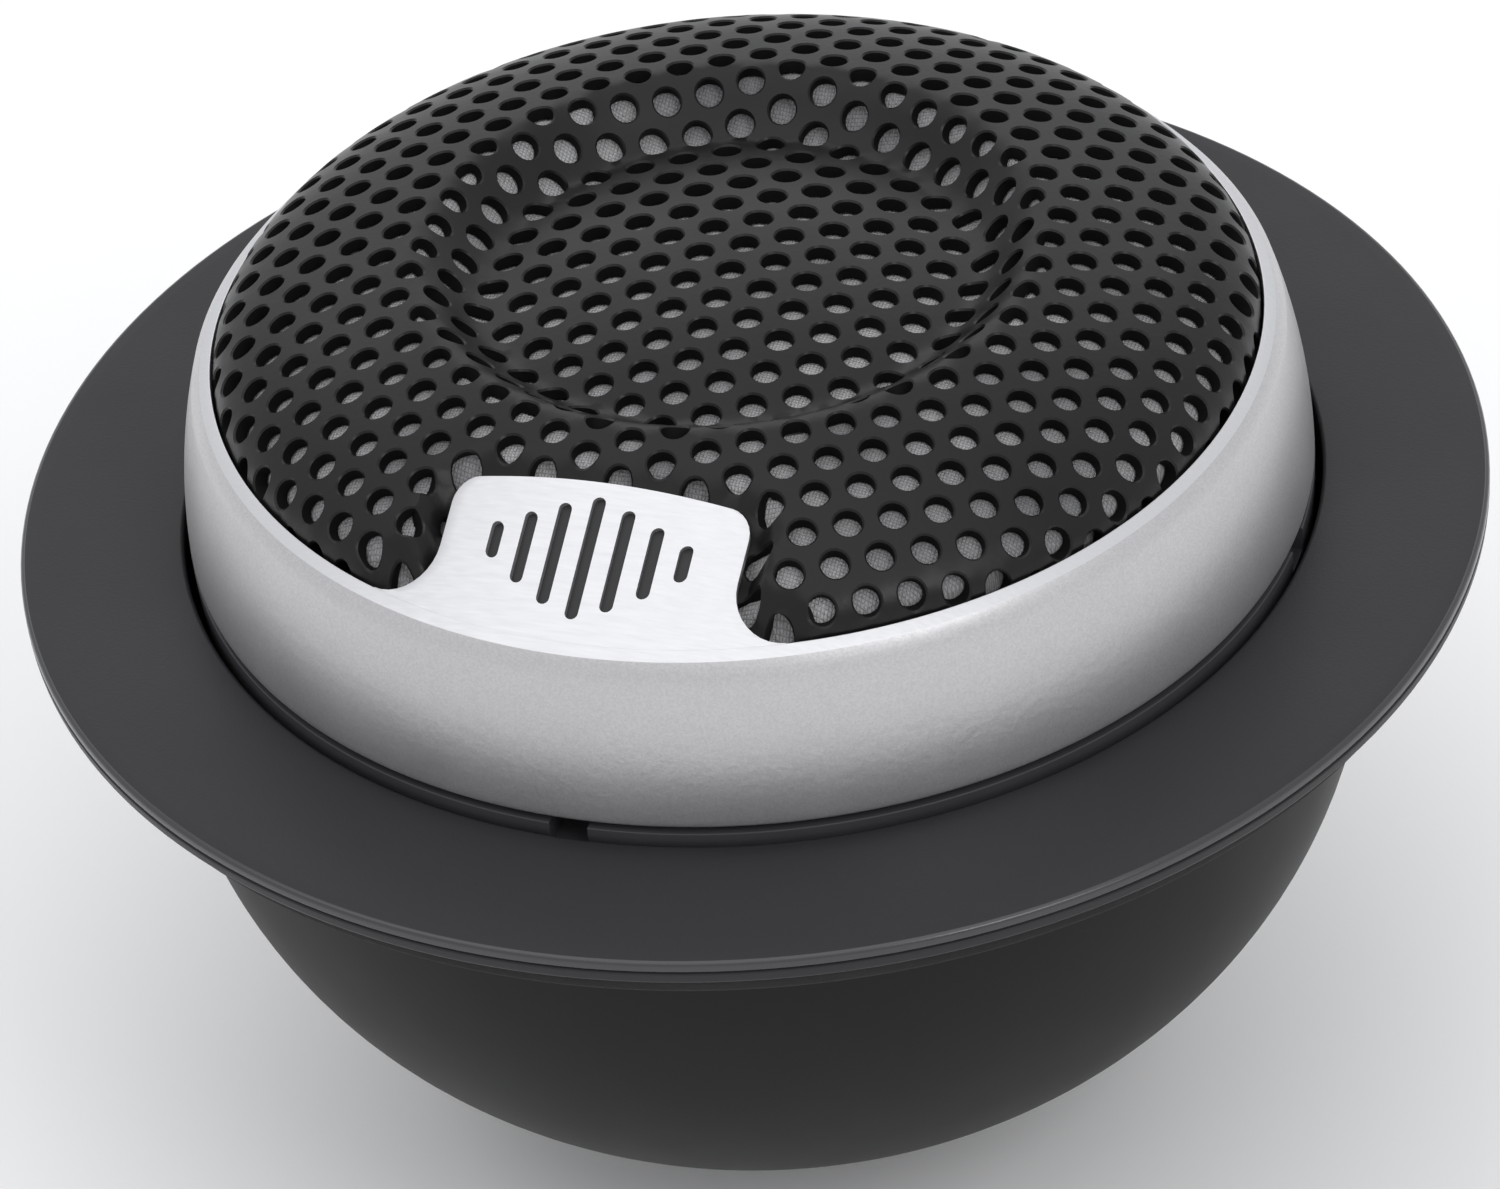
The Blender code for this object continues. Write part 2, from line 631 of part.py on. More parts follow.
def build():
    """Make every piece; the origin is under the stud's head, on the axis."""
    flange_height = CUP_DEPTH - CUP_CENTRE + GAP + STUD_HEAD_THICK
    flange = datum("flange_plane", flange_height)
    ball = datum("ball_centre", flange_height + BALL_RISE)
    make_flange_ring(flange)
    make_rear_cup(flange)
    make_panel_gasket(flange)
    make_slip_ring(ball)
    make_hollow_stud(ball)
    make_pressure_washer(ball)
    make_wave_spring(ball)
    make_lock_nut(ball)
    make_ball_shell(ball)
    make_bezel_ring(ball)
    make_grille_stack(ball)
    make_driver_chassis(ball)
    make_chassis_screws(ball)
    make_motor(ball)
    make_diaphragm(ball)
    make_surround(ball)
    make_terminals(ball)
    make_rear_absorber(ball)


build()
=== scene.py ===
"""Looks of a swivelling flush-mount car tweeter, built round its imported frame.

The tweeter is an eyeball capsule in a flanged cup. Lengths in the classes are
millimetres. Heights are given over the ball's centre, the point that the
capsule turns about, unless a name says flange.
"""

from __future__ import annotations

import json
import logging
import math
from dataclasses import dataclass, field
from enum import Enum
from typing import Callable, Iterable, Sequence

import bmesh
import bpy
import numpy as np
from mathutils import Matrix, Vector

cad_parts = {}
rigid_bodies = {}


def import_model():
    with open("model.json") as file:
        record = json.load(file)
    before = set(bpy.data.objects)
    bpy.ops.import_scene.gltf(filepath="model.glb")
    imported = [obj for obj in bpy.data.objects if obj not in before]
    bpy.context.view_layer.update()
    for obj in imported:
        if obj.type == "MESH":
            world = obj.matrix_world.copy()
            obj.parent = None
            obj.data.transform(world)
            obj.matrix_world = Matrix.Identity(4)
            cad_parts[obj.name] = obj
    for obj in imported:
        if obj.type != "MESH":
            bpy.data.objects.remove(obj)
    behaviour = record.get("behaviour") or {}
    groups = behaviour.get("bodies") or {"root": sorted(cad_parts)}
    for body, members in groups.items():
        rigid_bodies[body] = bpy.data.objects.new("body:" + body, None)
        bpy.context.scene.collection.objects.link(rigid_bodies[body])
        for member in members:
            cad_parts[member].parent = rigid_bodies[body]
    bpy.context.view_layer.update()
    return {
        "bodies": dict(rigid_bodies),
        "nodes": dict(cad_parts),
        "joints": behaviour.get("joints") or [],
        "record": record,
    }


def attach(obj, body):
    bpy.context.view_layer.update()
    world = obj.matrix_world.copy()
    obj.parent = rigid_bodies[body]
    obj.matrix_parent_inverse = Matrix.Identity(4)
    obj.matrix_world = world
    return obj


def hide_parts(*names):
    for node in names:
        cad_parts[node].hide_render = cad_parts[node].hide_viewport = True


LOG = logging.getLogger("tweeter")
MM = 0.001

Triple = tuple[float, float, float]
Outline = Sequence[Triple]
Socket = bpy.types.NodeSocket
Tree = bpy.types.NodeTree
Thing = bpy.types.Object


class Body(Enum):
    """The frame's rigid bodies."""

    MOUNT = "mount"
    SEAT = "seat"
    EYEBALL = "eyeball"
    DIAPHRAGM = "diaphragm"


# --- materials


def linear(code: str) -> tuple[float, float, float, float]:
    """Turn an sRGB hex colour into linear RGBA.

    Args:
        code: six hex digits after a hash sign.

    Returns:
        Linear red, green, blue and an alpha of one.
    """
    parts = [int(code[i:i + 2], 16) / 255 for i in (1, 3, 5)]
    flat = [c / 12.92 if c <= 0.04045 else ((c + 0.055) / 1.055) ** 2.4 for c in parts]
    return (*flat, 1.0)


def add_node(tree: Tree, kind: str, inputs: dict | None = None,
             **settings: object) -> bpy.types.Node:
    """Add a node, set its properties and fill or link its inputs.

    Args:
        tree: the node tree.
        kind: the node's type name.
        inputs: socket name or index to a value, or to an output to link.
        **settings: node properties, set before the inputs.

    Returns:
        The new node.
    """
    node = tree.nodes.new(kind)
    for key, value in settings.items():
        setattr(node, key, value)
    for key, value in (inputs or {}).items():
        if isinstance(value, Socket):
            tree.links.new(value, node.inputs[key])
        else:
            node.inputs[key].default_value = value
    return node


def maths(tree: Tree, operation: str, *values: Socket | float) -> Socket:
    """Add a math node over sockets or numbers and return its output."""
    return add_node(tree, "ShaderNodeMath", dict(enumerate(values)),
                    operation=operation).outputs[0]


@dataclass
class Paint:
    """A material being built: its tree, its shader and object coordinates."""

    tree: Tree
    shader: bpy.types.Node
    place: Socket

    def add(self, kind: str, inputs: dict, **settings: object) -> bpy.types.Node:
        """Add a node to the material."""
        return add_node(self.tree, kind, inputs, **settings)

    def maths(self, operation: str, *values: Socket | float) -> Socket:
        """One arithmetic step in the material."""
        return maths(self.tree, operation, *values)

    def noise(self, size: float, detail: float, place: Socket | None = None) -> Socket:
        """Noise whose features are about size millimetres."""
        return self.add("ShaderNodeTexNoise", {
            "Vector": self.place if place is None else place, "Scale": 1.0 / (size * MM),
            "Detail": detail, "Roughness": 0.55}).outputs["Fac"]

    def span(self, value: Socket, low: float, high: float) -> Socket:
        """Map noise from its usual spread to a range."""
        return self.add("ShaderNodeMapRange", {
            "Value": value, "From Min": 0.3, "From Max": 0.7, "To Min": low,
            "To Max": high}).outputs["Result"]

    def tint(self, share: Socket, low: str, high: str) -> None:
        """Colour from low at zero to high at one, both sRGB hex."""
        tone = self.add("ShaderNodeMix", {0: share, 6: linear(low), 7: linear(high)},
                        data_type="RGBA")
        self.tree.links.new(tone.outputs[2], self.shader.inputs["Base Color"])

    def polish(self, cloud: Socket, middle: float, spread: float) -> None:
        """Let the roughness wander about its middle with a cloud of noise."""
        gloss = self.span(cloud, middle - spread, middle + spread)
        self.tree.links.new(gloss, self.shader.inputs["Roughness"])

    def emboss(self, height: Socket, relief: float) -> None:
        """Bump the surface by a height pattern of relief millimetres."""
        bump = self.add("ShaderNodeBump", {
            "Height": height, "Strength": 1.0, "Distance": relief * MM})
        self.tree.links.new(bump.outputs["Normal"], self.shader.inputs["Normal"])

    def set(self, **values: float) -> None:
        """Set the shader's own sockets; an underscore stands for a space."""
        for name, value in values.items():
            self.shader.inputs[name.replace("_", " ")].default_value = value


@dataclass(frozen=True)
class Finish:
    """A Principled surface with grain; the base of every finish.

    grain is the size of the surface's grain, relief its height and patch the
    size of its clouds of tone, all in millimetres. spread is how far the
    roughness wanders either way.
    """

    name: str
    slot: str
    colour: str
    shade: str
    roughness: float
    grain: float = 0.2
    relief: float = 0.004
    spread: float = 0.05
    metallic: float = 0.0
    ior: float = 1.5
    patch: float = 6.0
    sheen_level: float = 0.5

    def make(self) -> bpy.types.Material:
        """Build the material, or return it when it has been built.

        Returns:
            The material, one for each finish.
        """
        found = bpy.data.materials.get(self.name)
        if found is not None:
            return found
        material = bpy.data.materials.new(self.name)
        material.use_nodes = True
        tree = material.node_tree
        place = add_node(tree, "ShaderNodeTexCoord").outputs["Object"]
        paint = Paint(tree, tree.nodes["Principled BSDF"], place)
        paint.set(Metallic=self.metallic)
        if self.metallic < 0.5:
            paint.set(IOR=self.ior, Specular_IOR_Level=self.sheen_level)
        self.dress(paint)
        return material

    def dress(self, paint: Paint) -> None:
        """Add colour, roughness and relief.

        Args:
            paint: the material being built.
        """
        cloud = paint.noise(self.patch, 3.0)
        paint.tint(cloud, self.colour, self.shade)
        paint.polish(cloud, self.roughness, self.spread)
        paint.emboss(paint.noise(self.grain, 2.0), self.relief)


@dataclass(frozen=True)
class MetallicPaint(Finish):
    """Silver lacquer with aluminium flakes of flake millimetres.

    Each flake mirrors its own way; sparkle is its share of the relief.
    """

    flake: float = 0.07
    sparkle: float = 0.12

    def dress(self, paint: Paint) -> None:
        """Add flakes over a soft cloud of tone.

        Args:
            paint: the material being built.
        """
        flakes = paint.add("ShaderNodeTexVoronoi", {
            "Vector": paint.place, "Scale": 1.0 / (self.flake * MM)})
        split = paint.add("ShaderNodeSeparateColor", {"Color": flakes.outputs["Color"]})
        paint.tint(split.outputs["Red"], self.colour, self.shade)
        paint.polish(paint.noise(self.patch, 2.0), self.roughness, self.spread)
        tilt = paint.maths("MULTIPLY", split.outputs["Green"], self.sparkle)
        paint.emboss(paint.maths("ADD", tilt, paint.noise(self.grain, 3.0)), self.relief)


@dataclass(frozen=True)
class Brushed(Finish):
    """Lacquer rubbed along X: fine streaks, draw times as long as wide."""

    draw: float = 14.0

    def dress(self, paint: Paint) -> None:
        """Add streaks drawn out along X.

        Args:
            paint: the material being built.
        """
        drawn = paint.add("ShaderNodeMapping", {
            "Vector": paint.place, "Scale": (1.0 / self.draw, 1.0, 1.0)})
        streak = paint.noise(self.grain, 3.0, drawn.outputs["Vector"])
        paint.tint(streak, self.colour, self.shade)
        paint.polish(streak, self.roughness, self.spread)
        paint.emboss(streak, self.relief)


@dataclass(frozen=True)
class Weave(Finish):
    """Plain-woven cloth: threads over and under, on the XY plane."""

    thread: float = 0.14
    gap_colour: str = "#5C5C5F"
    wander_size: float = 1.4
    wander: float = 1.6
    start: float = 0.12
    fuzz: float = 0.8
    fuzz_sheen: float = 0.25

    def dress(self, paint: Paint) -> None:
        """Add crossing threads with fuzz, darkened towards the gaps between them as painted
        shade, and patches of painted shade.

        Args:
            paint: the material being built.
        """
        wander = paint.noise(self.wander_size, 2.0)
        shift = paint.add("ShaderNodeVectorMath", {
            0: paint.place, 1: (self.start * MM, self.start * MM, 0.0)}, operation="ADD")
        axes = paint.add("ShaderNodeSeparateXYZ", {"Vector": shift.outputs[0]})
        rate = math.pi / (self.thread * MM)
        waves = []
        for axis in ("X", "Y"):
            phase = paint.maths("MULTIPLY", axes.outputs[axis], rate)
            bent = paint.maths("MULTIPLY_ADD", wander, self.wander, phase)
            waves.append(paint.maths("SINE", bent))
        least = paint.maths("MINIMUM", *(paint.maths("ABSOLUTE", wave) for wave in waves))
        over = paint.maths("MULTIPLY", *waves)
        lift = paint.maths("MULTIPLY_ADD", over, 0.5, least)
        height = paint.maths("MULTIPLY_ADD", paint.noise(self.grain, 4.0), self.fuzz, lift)
        thread = paint.add("ShaderNodeMapRange", {
            "Value": height, "From Min": 0.1, "From Max": 0.9, "To Min": 0.0, "To Max": 1.0})
        # Patches of painted shade: the cloth darkens where less light reaches it through the
        # grille.
        cloud = paint.span(paint.noise(self.patch, 1.0), 0.25, 1.0)
        lit = paint.maths("MULTIPLY", thread.outputs["Result"], cloud)
        # Painted shade: the tone falls from the thread crests to the gap colour between the
        # threads.
        paint.tint(lit, self.gap_colour, self.colour)
        paint.set(Roughness=self.roughness, Sheen_Weight=self.fuzz_sheen)
        paint.emboss(height, self.relief)


@dataclass(frozen=True)
class Winding(Finish):
    """Enamelled wire wound round the Z axis, one turn every turn millimetres."""

    turn: float = 0.16

    def dress(self, paint: Paint) -> None:
        """Add a ridge for each turn, darkened into the grooves between turns as painted shade.

        Args:
            paint: the material being built.
        """
        axes = paint.add("ShaderNodeSeparateXYZ", {"Vector": paint.place})
        phase = paint.maths("MULTIPLY", axes.outputs["Z"], math.pi / (self.turn * MM))
        ridge = paint.maths("ABSOLUTE", paint.maths("SINE", phase))
        # Painted shade: the colour falls to the shade tone in the grooves between turns.
        paint.tint(ridge, self.shade, self.colour)
        paint.set(Roughness=self.roughness)
        paint.emboss(ridge, self.relief)


# Injection-moulded ABS from a satin tool: soft sheen, faint cloud from handling.
FLANGE_ABS = Finish("moulded_abs_satin", "satin_black_plastic", "#2A2A2C", "#2E2E30", 0.4,
                    grain=0.14, relief=0.008, spread=0.05, patch=7.0, sheen_level=0.2)
# The flange's lip is buffed by handling and catches the light.
LIP_ABS = Finish("buffed_abs_lip", "satin_black_plastic", "#2A2A2C", "#2E2E30", 0.24,
                 grain=0.14, relief=0.004, spread=0.05, patch=7.0, sheen_level=0.7)
# The ball is the same resin, its colour lifted a shade paler as painted light on the band that
# shows between bezel and flange.
BALL_ABS = Finish("scuffed_abs_ball", "moulded_black_abs", "#3A3A3D", "#3F3F42", 0.42,
                  grain=0.14, relief=0.008, spread=0.05, patch=5.0, sheen_level=0.3)
# The cup comes from a duller, spark-eroded tool: even, finer sheen.
CUP_ABS = Finish("moulded_abs_dull", "moulded_black_abs", "#141415", "#18181A", 0.5,
                 grain=0.12, relief=0.004, spread=0.04, patch=12.0, sheen_level=0.2)
# Sprayed silver lacquer with fine aluminium flake.
SILVER = MetallicPaint("sprayed_silver_lacquer", "silver_paint", "#CBCACC", "#C0BFC1", 0.4,
                       grain=0.45, relief=0.014, spread=0.03, metallic=0.8)
# The bezel's upward faces are a lighter brushed satin: partly a rubbed-back face, partly painted
# light for their brighter lit tops.
BRIGHT = Brushed("brushed_bright_face", "silver_paint", "#D9D9DB", "#CDCDD0", 0.36,
                 grain=0.12, relief=0.001, spread=0.05, metallic=0.8)
# Pad-printed enamel on the floor of the engraved mark.
ENAMEL = Finish("dark_enamel", "black_coated_steel", "#1B1B1D", "#161618", 0.45,
                grain=0.15, relief=0.002)
# Epoxy powder coat baked on punched steel: fine orange peel, semi-gloss.
POWDER = Finish("powder_coated_steel", "black_coated_steel", "#111112", "#151516", 0.34,
                grain=0.3, relief=0.007, spread=0.05, patch=5.0, sheen_level=0.27)
# Punched hole walls take little powder: dull and near black.
HOLE_WALL = Finish("thin_powder_in_holes", "black_coated_steel", "#0A0A0A", "#0D0D0D", 0.7,
                   grain=0.2, relief=0.01, sheen_level=0.15)
# Woven polyester acoustic cloth; its threads are drawn a little coarse to show, with patches of
# painted shade.
CLOTH = Weave("woven_acoustic_cloth", "grey_cloth", "#DADADB", "#A9A9AB", 0.9,
              grain=0.1, relief=0.04, patch=7.0)
# Closed-cell foam, skived: open cells on its cut faces.
FOAM = Finish("closed_cell_foam", "black_foam", "#242425", "#1B1B1C", 0.92,
              grain=0.35, relief=0.05, spread=0.03)
# Barrel zinc plate on pressed and turned steel.
ZINC = Finish("zinc_plated_steel", "zinc_steel", "#B9BCC2", "#A3A7AE", 0.3,
              grain=0.25, relief=0.003, spread=0.08, metallic=1.0, patch=2.5)
# Bright nickel over a sintered magnet.
NICKEL = Finish("nickel_plated_magnet", "nickel_magnet", "#C7C2B8", "#B2ADA4", 0.22,
                grain=0.3, relief=0.002, spread=0.06, metallic=1.0, patch=3.0)
# Undyed moulded nylon.
NYLON = Finish("natural_nylon", "white_nylon", "#DAD8CC", "#CFCDBF", 0.48,
               grain=0.3, relief=0.004, ior=1.53)
# Silk doped with a tacky damping coat.
SILK = Finish("coated_silk", "coated_silk", "#3A3A3E", "#2E2E32", 0.55,
              grain=0.18, relief=0.02)
# Rolled polyimide film: smooth and amber.
FILM = Finish("polyimide_film", "amber_film", "#B4702C", "#9E5E20", 0.3,
              grain=0.5, relief=0.002)
# Copper wire under clear enamel, its grooves between turns darkened as painted shade.
COPPER = Winding("enamelled_copper_wire", "copper_wire", "#C77B4A", "#7A3D22", 0.32,
                 relief=0.04, metallic=1.0)
# Hot-tinned stamped brass.
BRASS = Finish("tinned_brass", "tinned_brass", "#C9C0A2", "#B8AC86", 0.28,
               grain=0.3, relief=0.003, metallic=1.0, patch=2.0)
# Pressed paper board soaked in phenolic resin.
PHENOLIC = Finish("phenolic_paper_board", "phenolic_board", "#7A4B26", "#6A3F1F", 0.55,
                  grain=0.2, relief=0.006)
# Loose matted wool.
FELT = Finish("wool_felt", "white_felt", "#DCDAD2", "#C9C6BC", 0.95,
              grain=0.25, relief=0.12, spread=0.02, patch=1.5)


# --- geometry


def rounded(corners: Outline, per_arc: int = 5) -> np.ndarray:
    """Round the corners of a closed outline.

    Args:
        corners: (radius, height, corner radius) for each corner, in order.
        per_arc: steps in each rounded corner.

    Returns:
        Points (radius, height) as an array.
    """
    points: list[tuple[float, float]] = []
    count = len(corners)
    for index, (x, y, radius) in enumerate(corners):
        here = Vector((x, y))
        before = Vector(corners[index - 1][:2]) - here
        after = Vector(corners[(index + 1) % count][:2]) - here
        if radius <= 0.0:
            points.append((x, y))
            continue
        half = before.angle(after) / 2
        reach = min(radius / math.tan(half), 0.49 * before.length, 0.49 * after.length)
        radius = reach * math.tan(half)
        first = here + before.normalized() * reach
        last = here + after.normalized() * reach
        centre = here + (before.normalized() + after.normalized()).normalized() * (
            radius / math.sin(half))
        spoke = first - centre
        turn = spoke.angle_signed(last - centre)
        for step in range(per_arc + 1):
            cosine, sine = math.cos(turn * step / per_arc), -math.sin(turn * step / per_arc)
            points.append((centre.x + spoke.x * cosine - spoke.y * sine,
                           centre.y + spoke.x * sine + spoke.y * cosine))
    return np.array(points)


def to_mesh(name: str, points: np.ndarray, faces: Sequence[Sequence[int]],
            crease: float = 35.0) -> bpy.types.Mesh:
    """Make a smooth-shaded mesh from millimetre points, faces outward.

    Args:
        name: the mesh's name.
        points: vertex positions in millimetres.
        faces: vertex indices of each face.
        crease: edges sharper than this many degrees stay sharp.

    Returns:
        The mesh, in metres.
    """
    mesh = bpy.data.meshes.new(name)
    mesh.from_pydata((points * MM).tolist(), [], faces)
    tidy(mesh, crease)
    return mesh


def tidy(mesh: bpy.types.Mesh, crease: float = 35.0) -> None:
    """Turn a mesh's faces outward and shade it smooth up to a crease angle.

    Args:
        mesh: a closed mesh, changed in place.
        crease: edges sharper than this many degrees stay sharp.
    """
    work = bmesh.new()
    work.from_mesh(mesh)
    if work.calc_volume(signed=True) < 0.0:
        bmesh.ops.reverse_faces(work, faces=work.faces)
    work.to_mesh(mesh)
    work.free()
    mesh.shade_smooth()
    mesh.set_sharp_from_angle(angle=math.radians(crease))


def quads(rings: int, count: int, closed: bool) -> list[tuple[int, ...]]:
    """Faces between neighbouring rings of points.

    Args:
        rings: number of rings.
        count: points in each ring, the last of which joins the first.
        closed: whether the last ring joins the first as well.

    Returns:
        Vertex indices of each face.
    """
    return [(ring * count + i, ring * count + (i + 1) % count,
             (ring + 1) % rings * count + (i + 1) % count, (ring + 1) % rings * count + i)
            for ring in range(rings if closed else rings - 1) for i in range(count)]


def sweep(centre: tuple[float, float], radius: float, first: float, last: float,
          steps: int) -> np.ndarray:
    """Points on a circle, from one bearing to another; bearing 0 is along +Y.

    Args:
        centre: the circle's centre.
        radius: its radius.
        first: bearing of the first point, in radians.
        last: bearing of the last point.
        steps: number of steps between them.

    Returns:
        Points (x, y) as an array.
    """
    turns = np.linspace(first, last, steps + 1)
    return np.stack([centre[0] + radius * np.sin(turns), centre[1] + radius * np.cos(turns)], -1)


def lathe(name: str, corners: Outline, lift: float, finish: Finish, segments: int = 192,
          per_arc: int = 5) -> Thing:
    """Turn a closed outline about the Z axis.

    Args:
        name: the object's name.
        corners: the outline's corners, as rounded() takes them.
        lift: height of the outline's zero over the floor, in millimetres.
        finish: the object's finish.
        segments: steps round the axis.
        per_arc: steps in each rounded corner.

    Returns:
        A closed solid.
    """
    outline = rounded(corners, per_arc)
    angles = np.linspace(0.0, 2 * math.pi, segments, endpoint=False)
    radius, height = outline[:, 0], outline[:, 1] + lift
    points = np.stack([
        np.outer(np.cos(angles), radius), np.outer(np.sin(angles), radius),
        np.tile(height, (segments, 1))], axis=-1).reshape(-1, 3)
    return link(name, to_mesh(name, points, quads(segments, len(outline), True)), finish)


def arc(radius: float, start: float, end: float, steps: int) -> list[Triple]:
    """Points on a circle about the ball's centre, from one height to another.

    Args:
        radius: the circle's radius.
        start: height of the first point.
        end: height of the last point.
        steps: number of steps between them.

    Returns:
        Outline corners with no rounding of their own.
    """
    first, last = math.asin(start / radius), math.asin(end / radius)
    turns = [first + (last - first) * i / steps for i in range(steps + 1)]
    return [(radius * math.cos(t), radius * math.sin(t), 0.0) for t in turns]


def link(name: str, data: bpy.types.ID, finish: Finish | None = None) -> Thing:
    """Put a mesh, lamp or camera in the scene at the origin.

    Args:
        name: the object's name.
        data: its mesh, lamp or camera.
        finish: a mesh's finish, or None to keep its own materials.

    Returns:
        The object.
    """
    item = bpy.data.objects.new(name, data)
    bpy.context.scene.collection.objects.link(item)
    if finish is not None:
        data.materials.clear()
        data.materials.append(finish.make())
    return item


def bake(item: Thing) -> bpy.types.Mesh:
    """Turn an object's modifiers into its mesh and drop them.

    Args:
        item: the object, changed in place.

    Returns:
        Its new mesh.
    """
    bpy.context.view_layer.update()
    graph = bpy.context.evaluated_depsgraph_get()
    mesh = bpy.data.meshes.new_from_object(item.evaluated_get(graph))
    item.modifiers.clear()
    item.data = mesh
    return mesh


def two_tone(mesh: bpy.types.Mesh, main: Finish, other: Finish,
             chosen: Callable[[bpy.types.MeshPolygon], bool]) -> None:
    """Dress a mesh in two finishes, the second on the chosen faces only.

    Args:
        mesh: finished mesh; its materials are replaced.
        main: finish of every other face.
        other: finish of the chosen faces.
        chosen: tells whether a face takes the second finish.
    """
    mesh.materials.clear()
    mesh.materials.append(main.make())
    mesh.materials.append(other.make())
    for face in mesh.polygons:
        face.material_index = int(chosen(face))


def carve(item: Thing, tools: Sequence[Thing], operation: str, crease: float = 35.0) -> Thing:
    """Join or cut an object with others, which are then removed.

    Args:
        item: the object, changed in place.
        tools: the other objects.
        operation: "UNION" or "DIFFERENCE".
        crease: edges sharper than this many degrees stay sharp.

    Returns:
        The same object.
    """
    for tool in tools:
        step = item.modifiers.new("Carve", "BOOLEAN")
        step.operation = operation
        step.solver = "EXACT"
        step.object = tool
    tidy(bake(item), crease)
    for tool in tools:
        bpy.data.objects.remove(tool)
    return item


def beam(name: str, size: Triple, middle: Triple, angle: float) -> Thing:
    """A bevelled box turned about Z, used as a tool or a small moulded feature.

    Args:
        name: the object's name.
        size: its edges in millimetres.
        middle: its centre in millimetres.
        angle: its turn about Z in radians.

    Returns:
        The box, with no finish.
    """
    work = bmesh.new()
    bmesh.ops.create_cube(work, size=1.0)
    bmesh.ops.scale(work, vec=Vector(size) * MM, verts=work.verts)
    bmesh.ops.bevel(work, geom=work.edges[:], offset=0.1 * MM, segments=2, affect="EDGES",
                    profile=0.5)
    bmesh.ops.transform(work, matrix=Matrix.Rotation(angle, 4, "Z"), verts=work.verts)
    bmesh.ops.translate(work, vec=Vector(middle) * MM, verts=work.verts)
    mesh = bpy.data.meshes.new(name)
    work.to_mesh(mesh)
    work.free()
    return link(name, mesh)


@dataclass
class Datum:
    """Where the frame puts the tweeter: heights over the floor, millimetres."""

    BALL_RISE = 0.6

    ball: float
    flange: float

    @classmethod
    def read(cls, frame: dict) -> Datum:
        """Take the ball's centre from the tilt joint, with the flange just below it.


        Returns:
            The datum heights.
        """
        tilt = next(j for j in frame["joints"] if j["name"] == "swivel_tilt")
        ball = tilt["pos_m"][2] / MM
        return cls(ball=ball, flange=ball - cls.BALL_RISE)


@dataclass
class Piece:
    """A finished object with the body it rides on and the nodes it replaces."""

    item: Thing
    body: Body
    finish: Finish
    nodes: tuple[str, ...] = ()

    def install(self) -> None:
        """Ride, replace, and report the piece."""
        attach(self.item, self.body.value)
        if self.nodes:
            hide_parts(*self.nodes)
        LOG.info("%s: %d faces on %s", self.item.name, len(self.item.data.polygons),
                 self.body.value)


# --- flange and cup


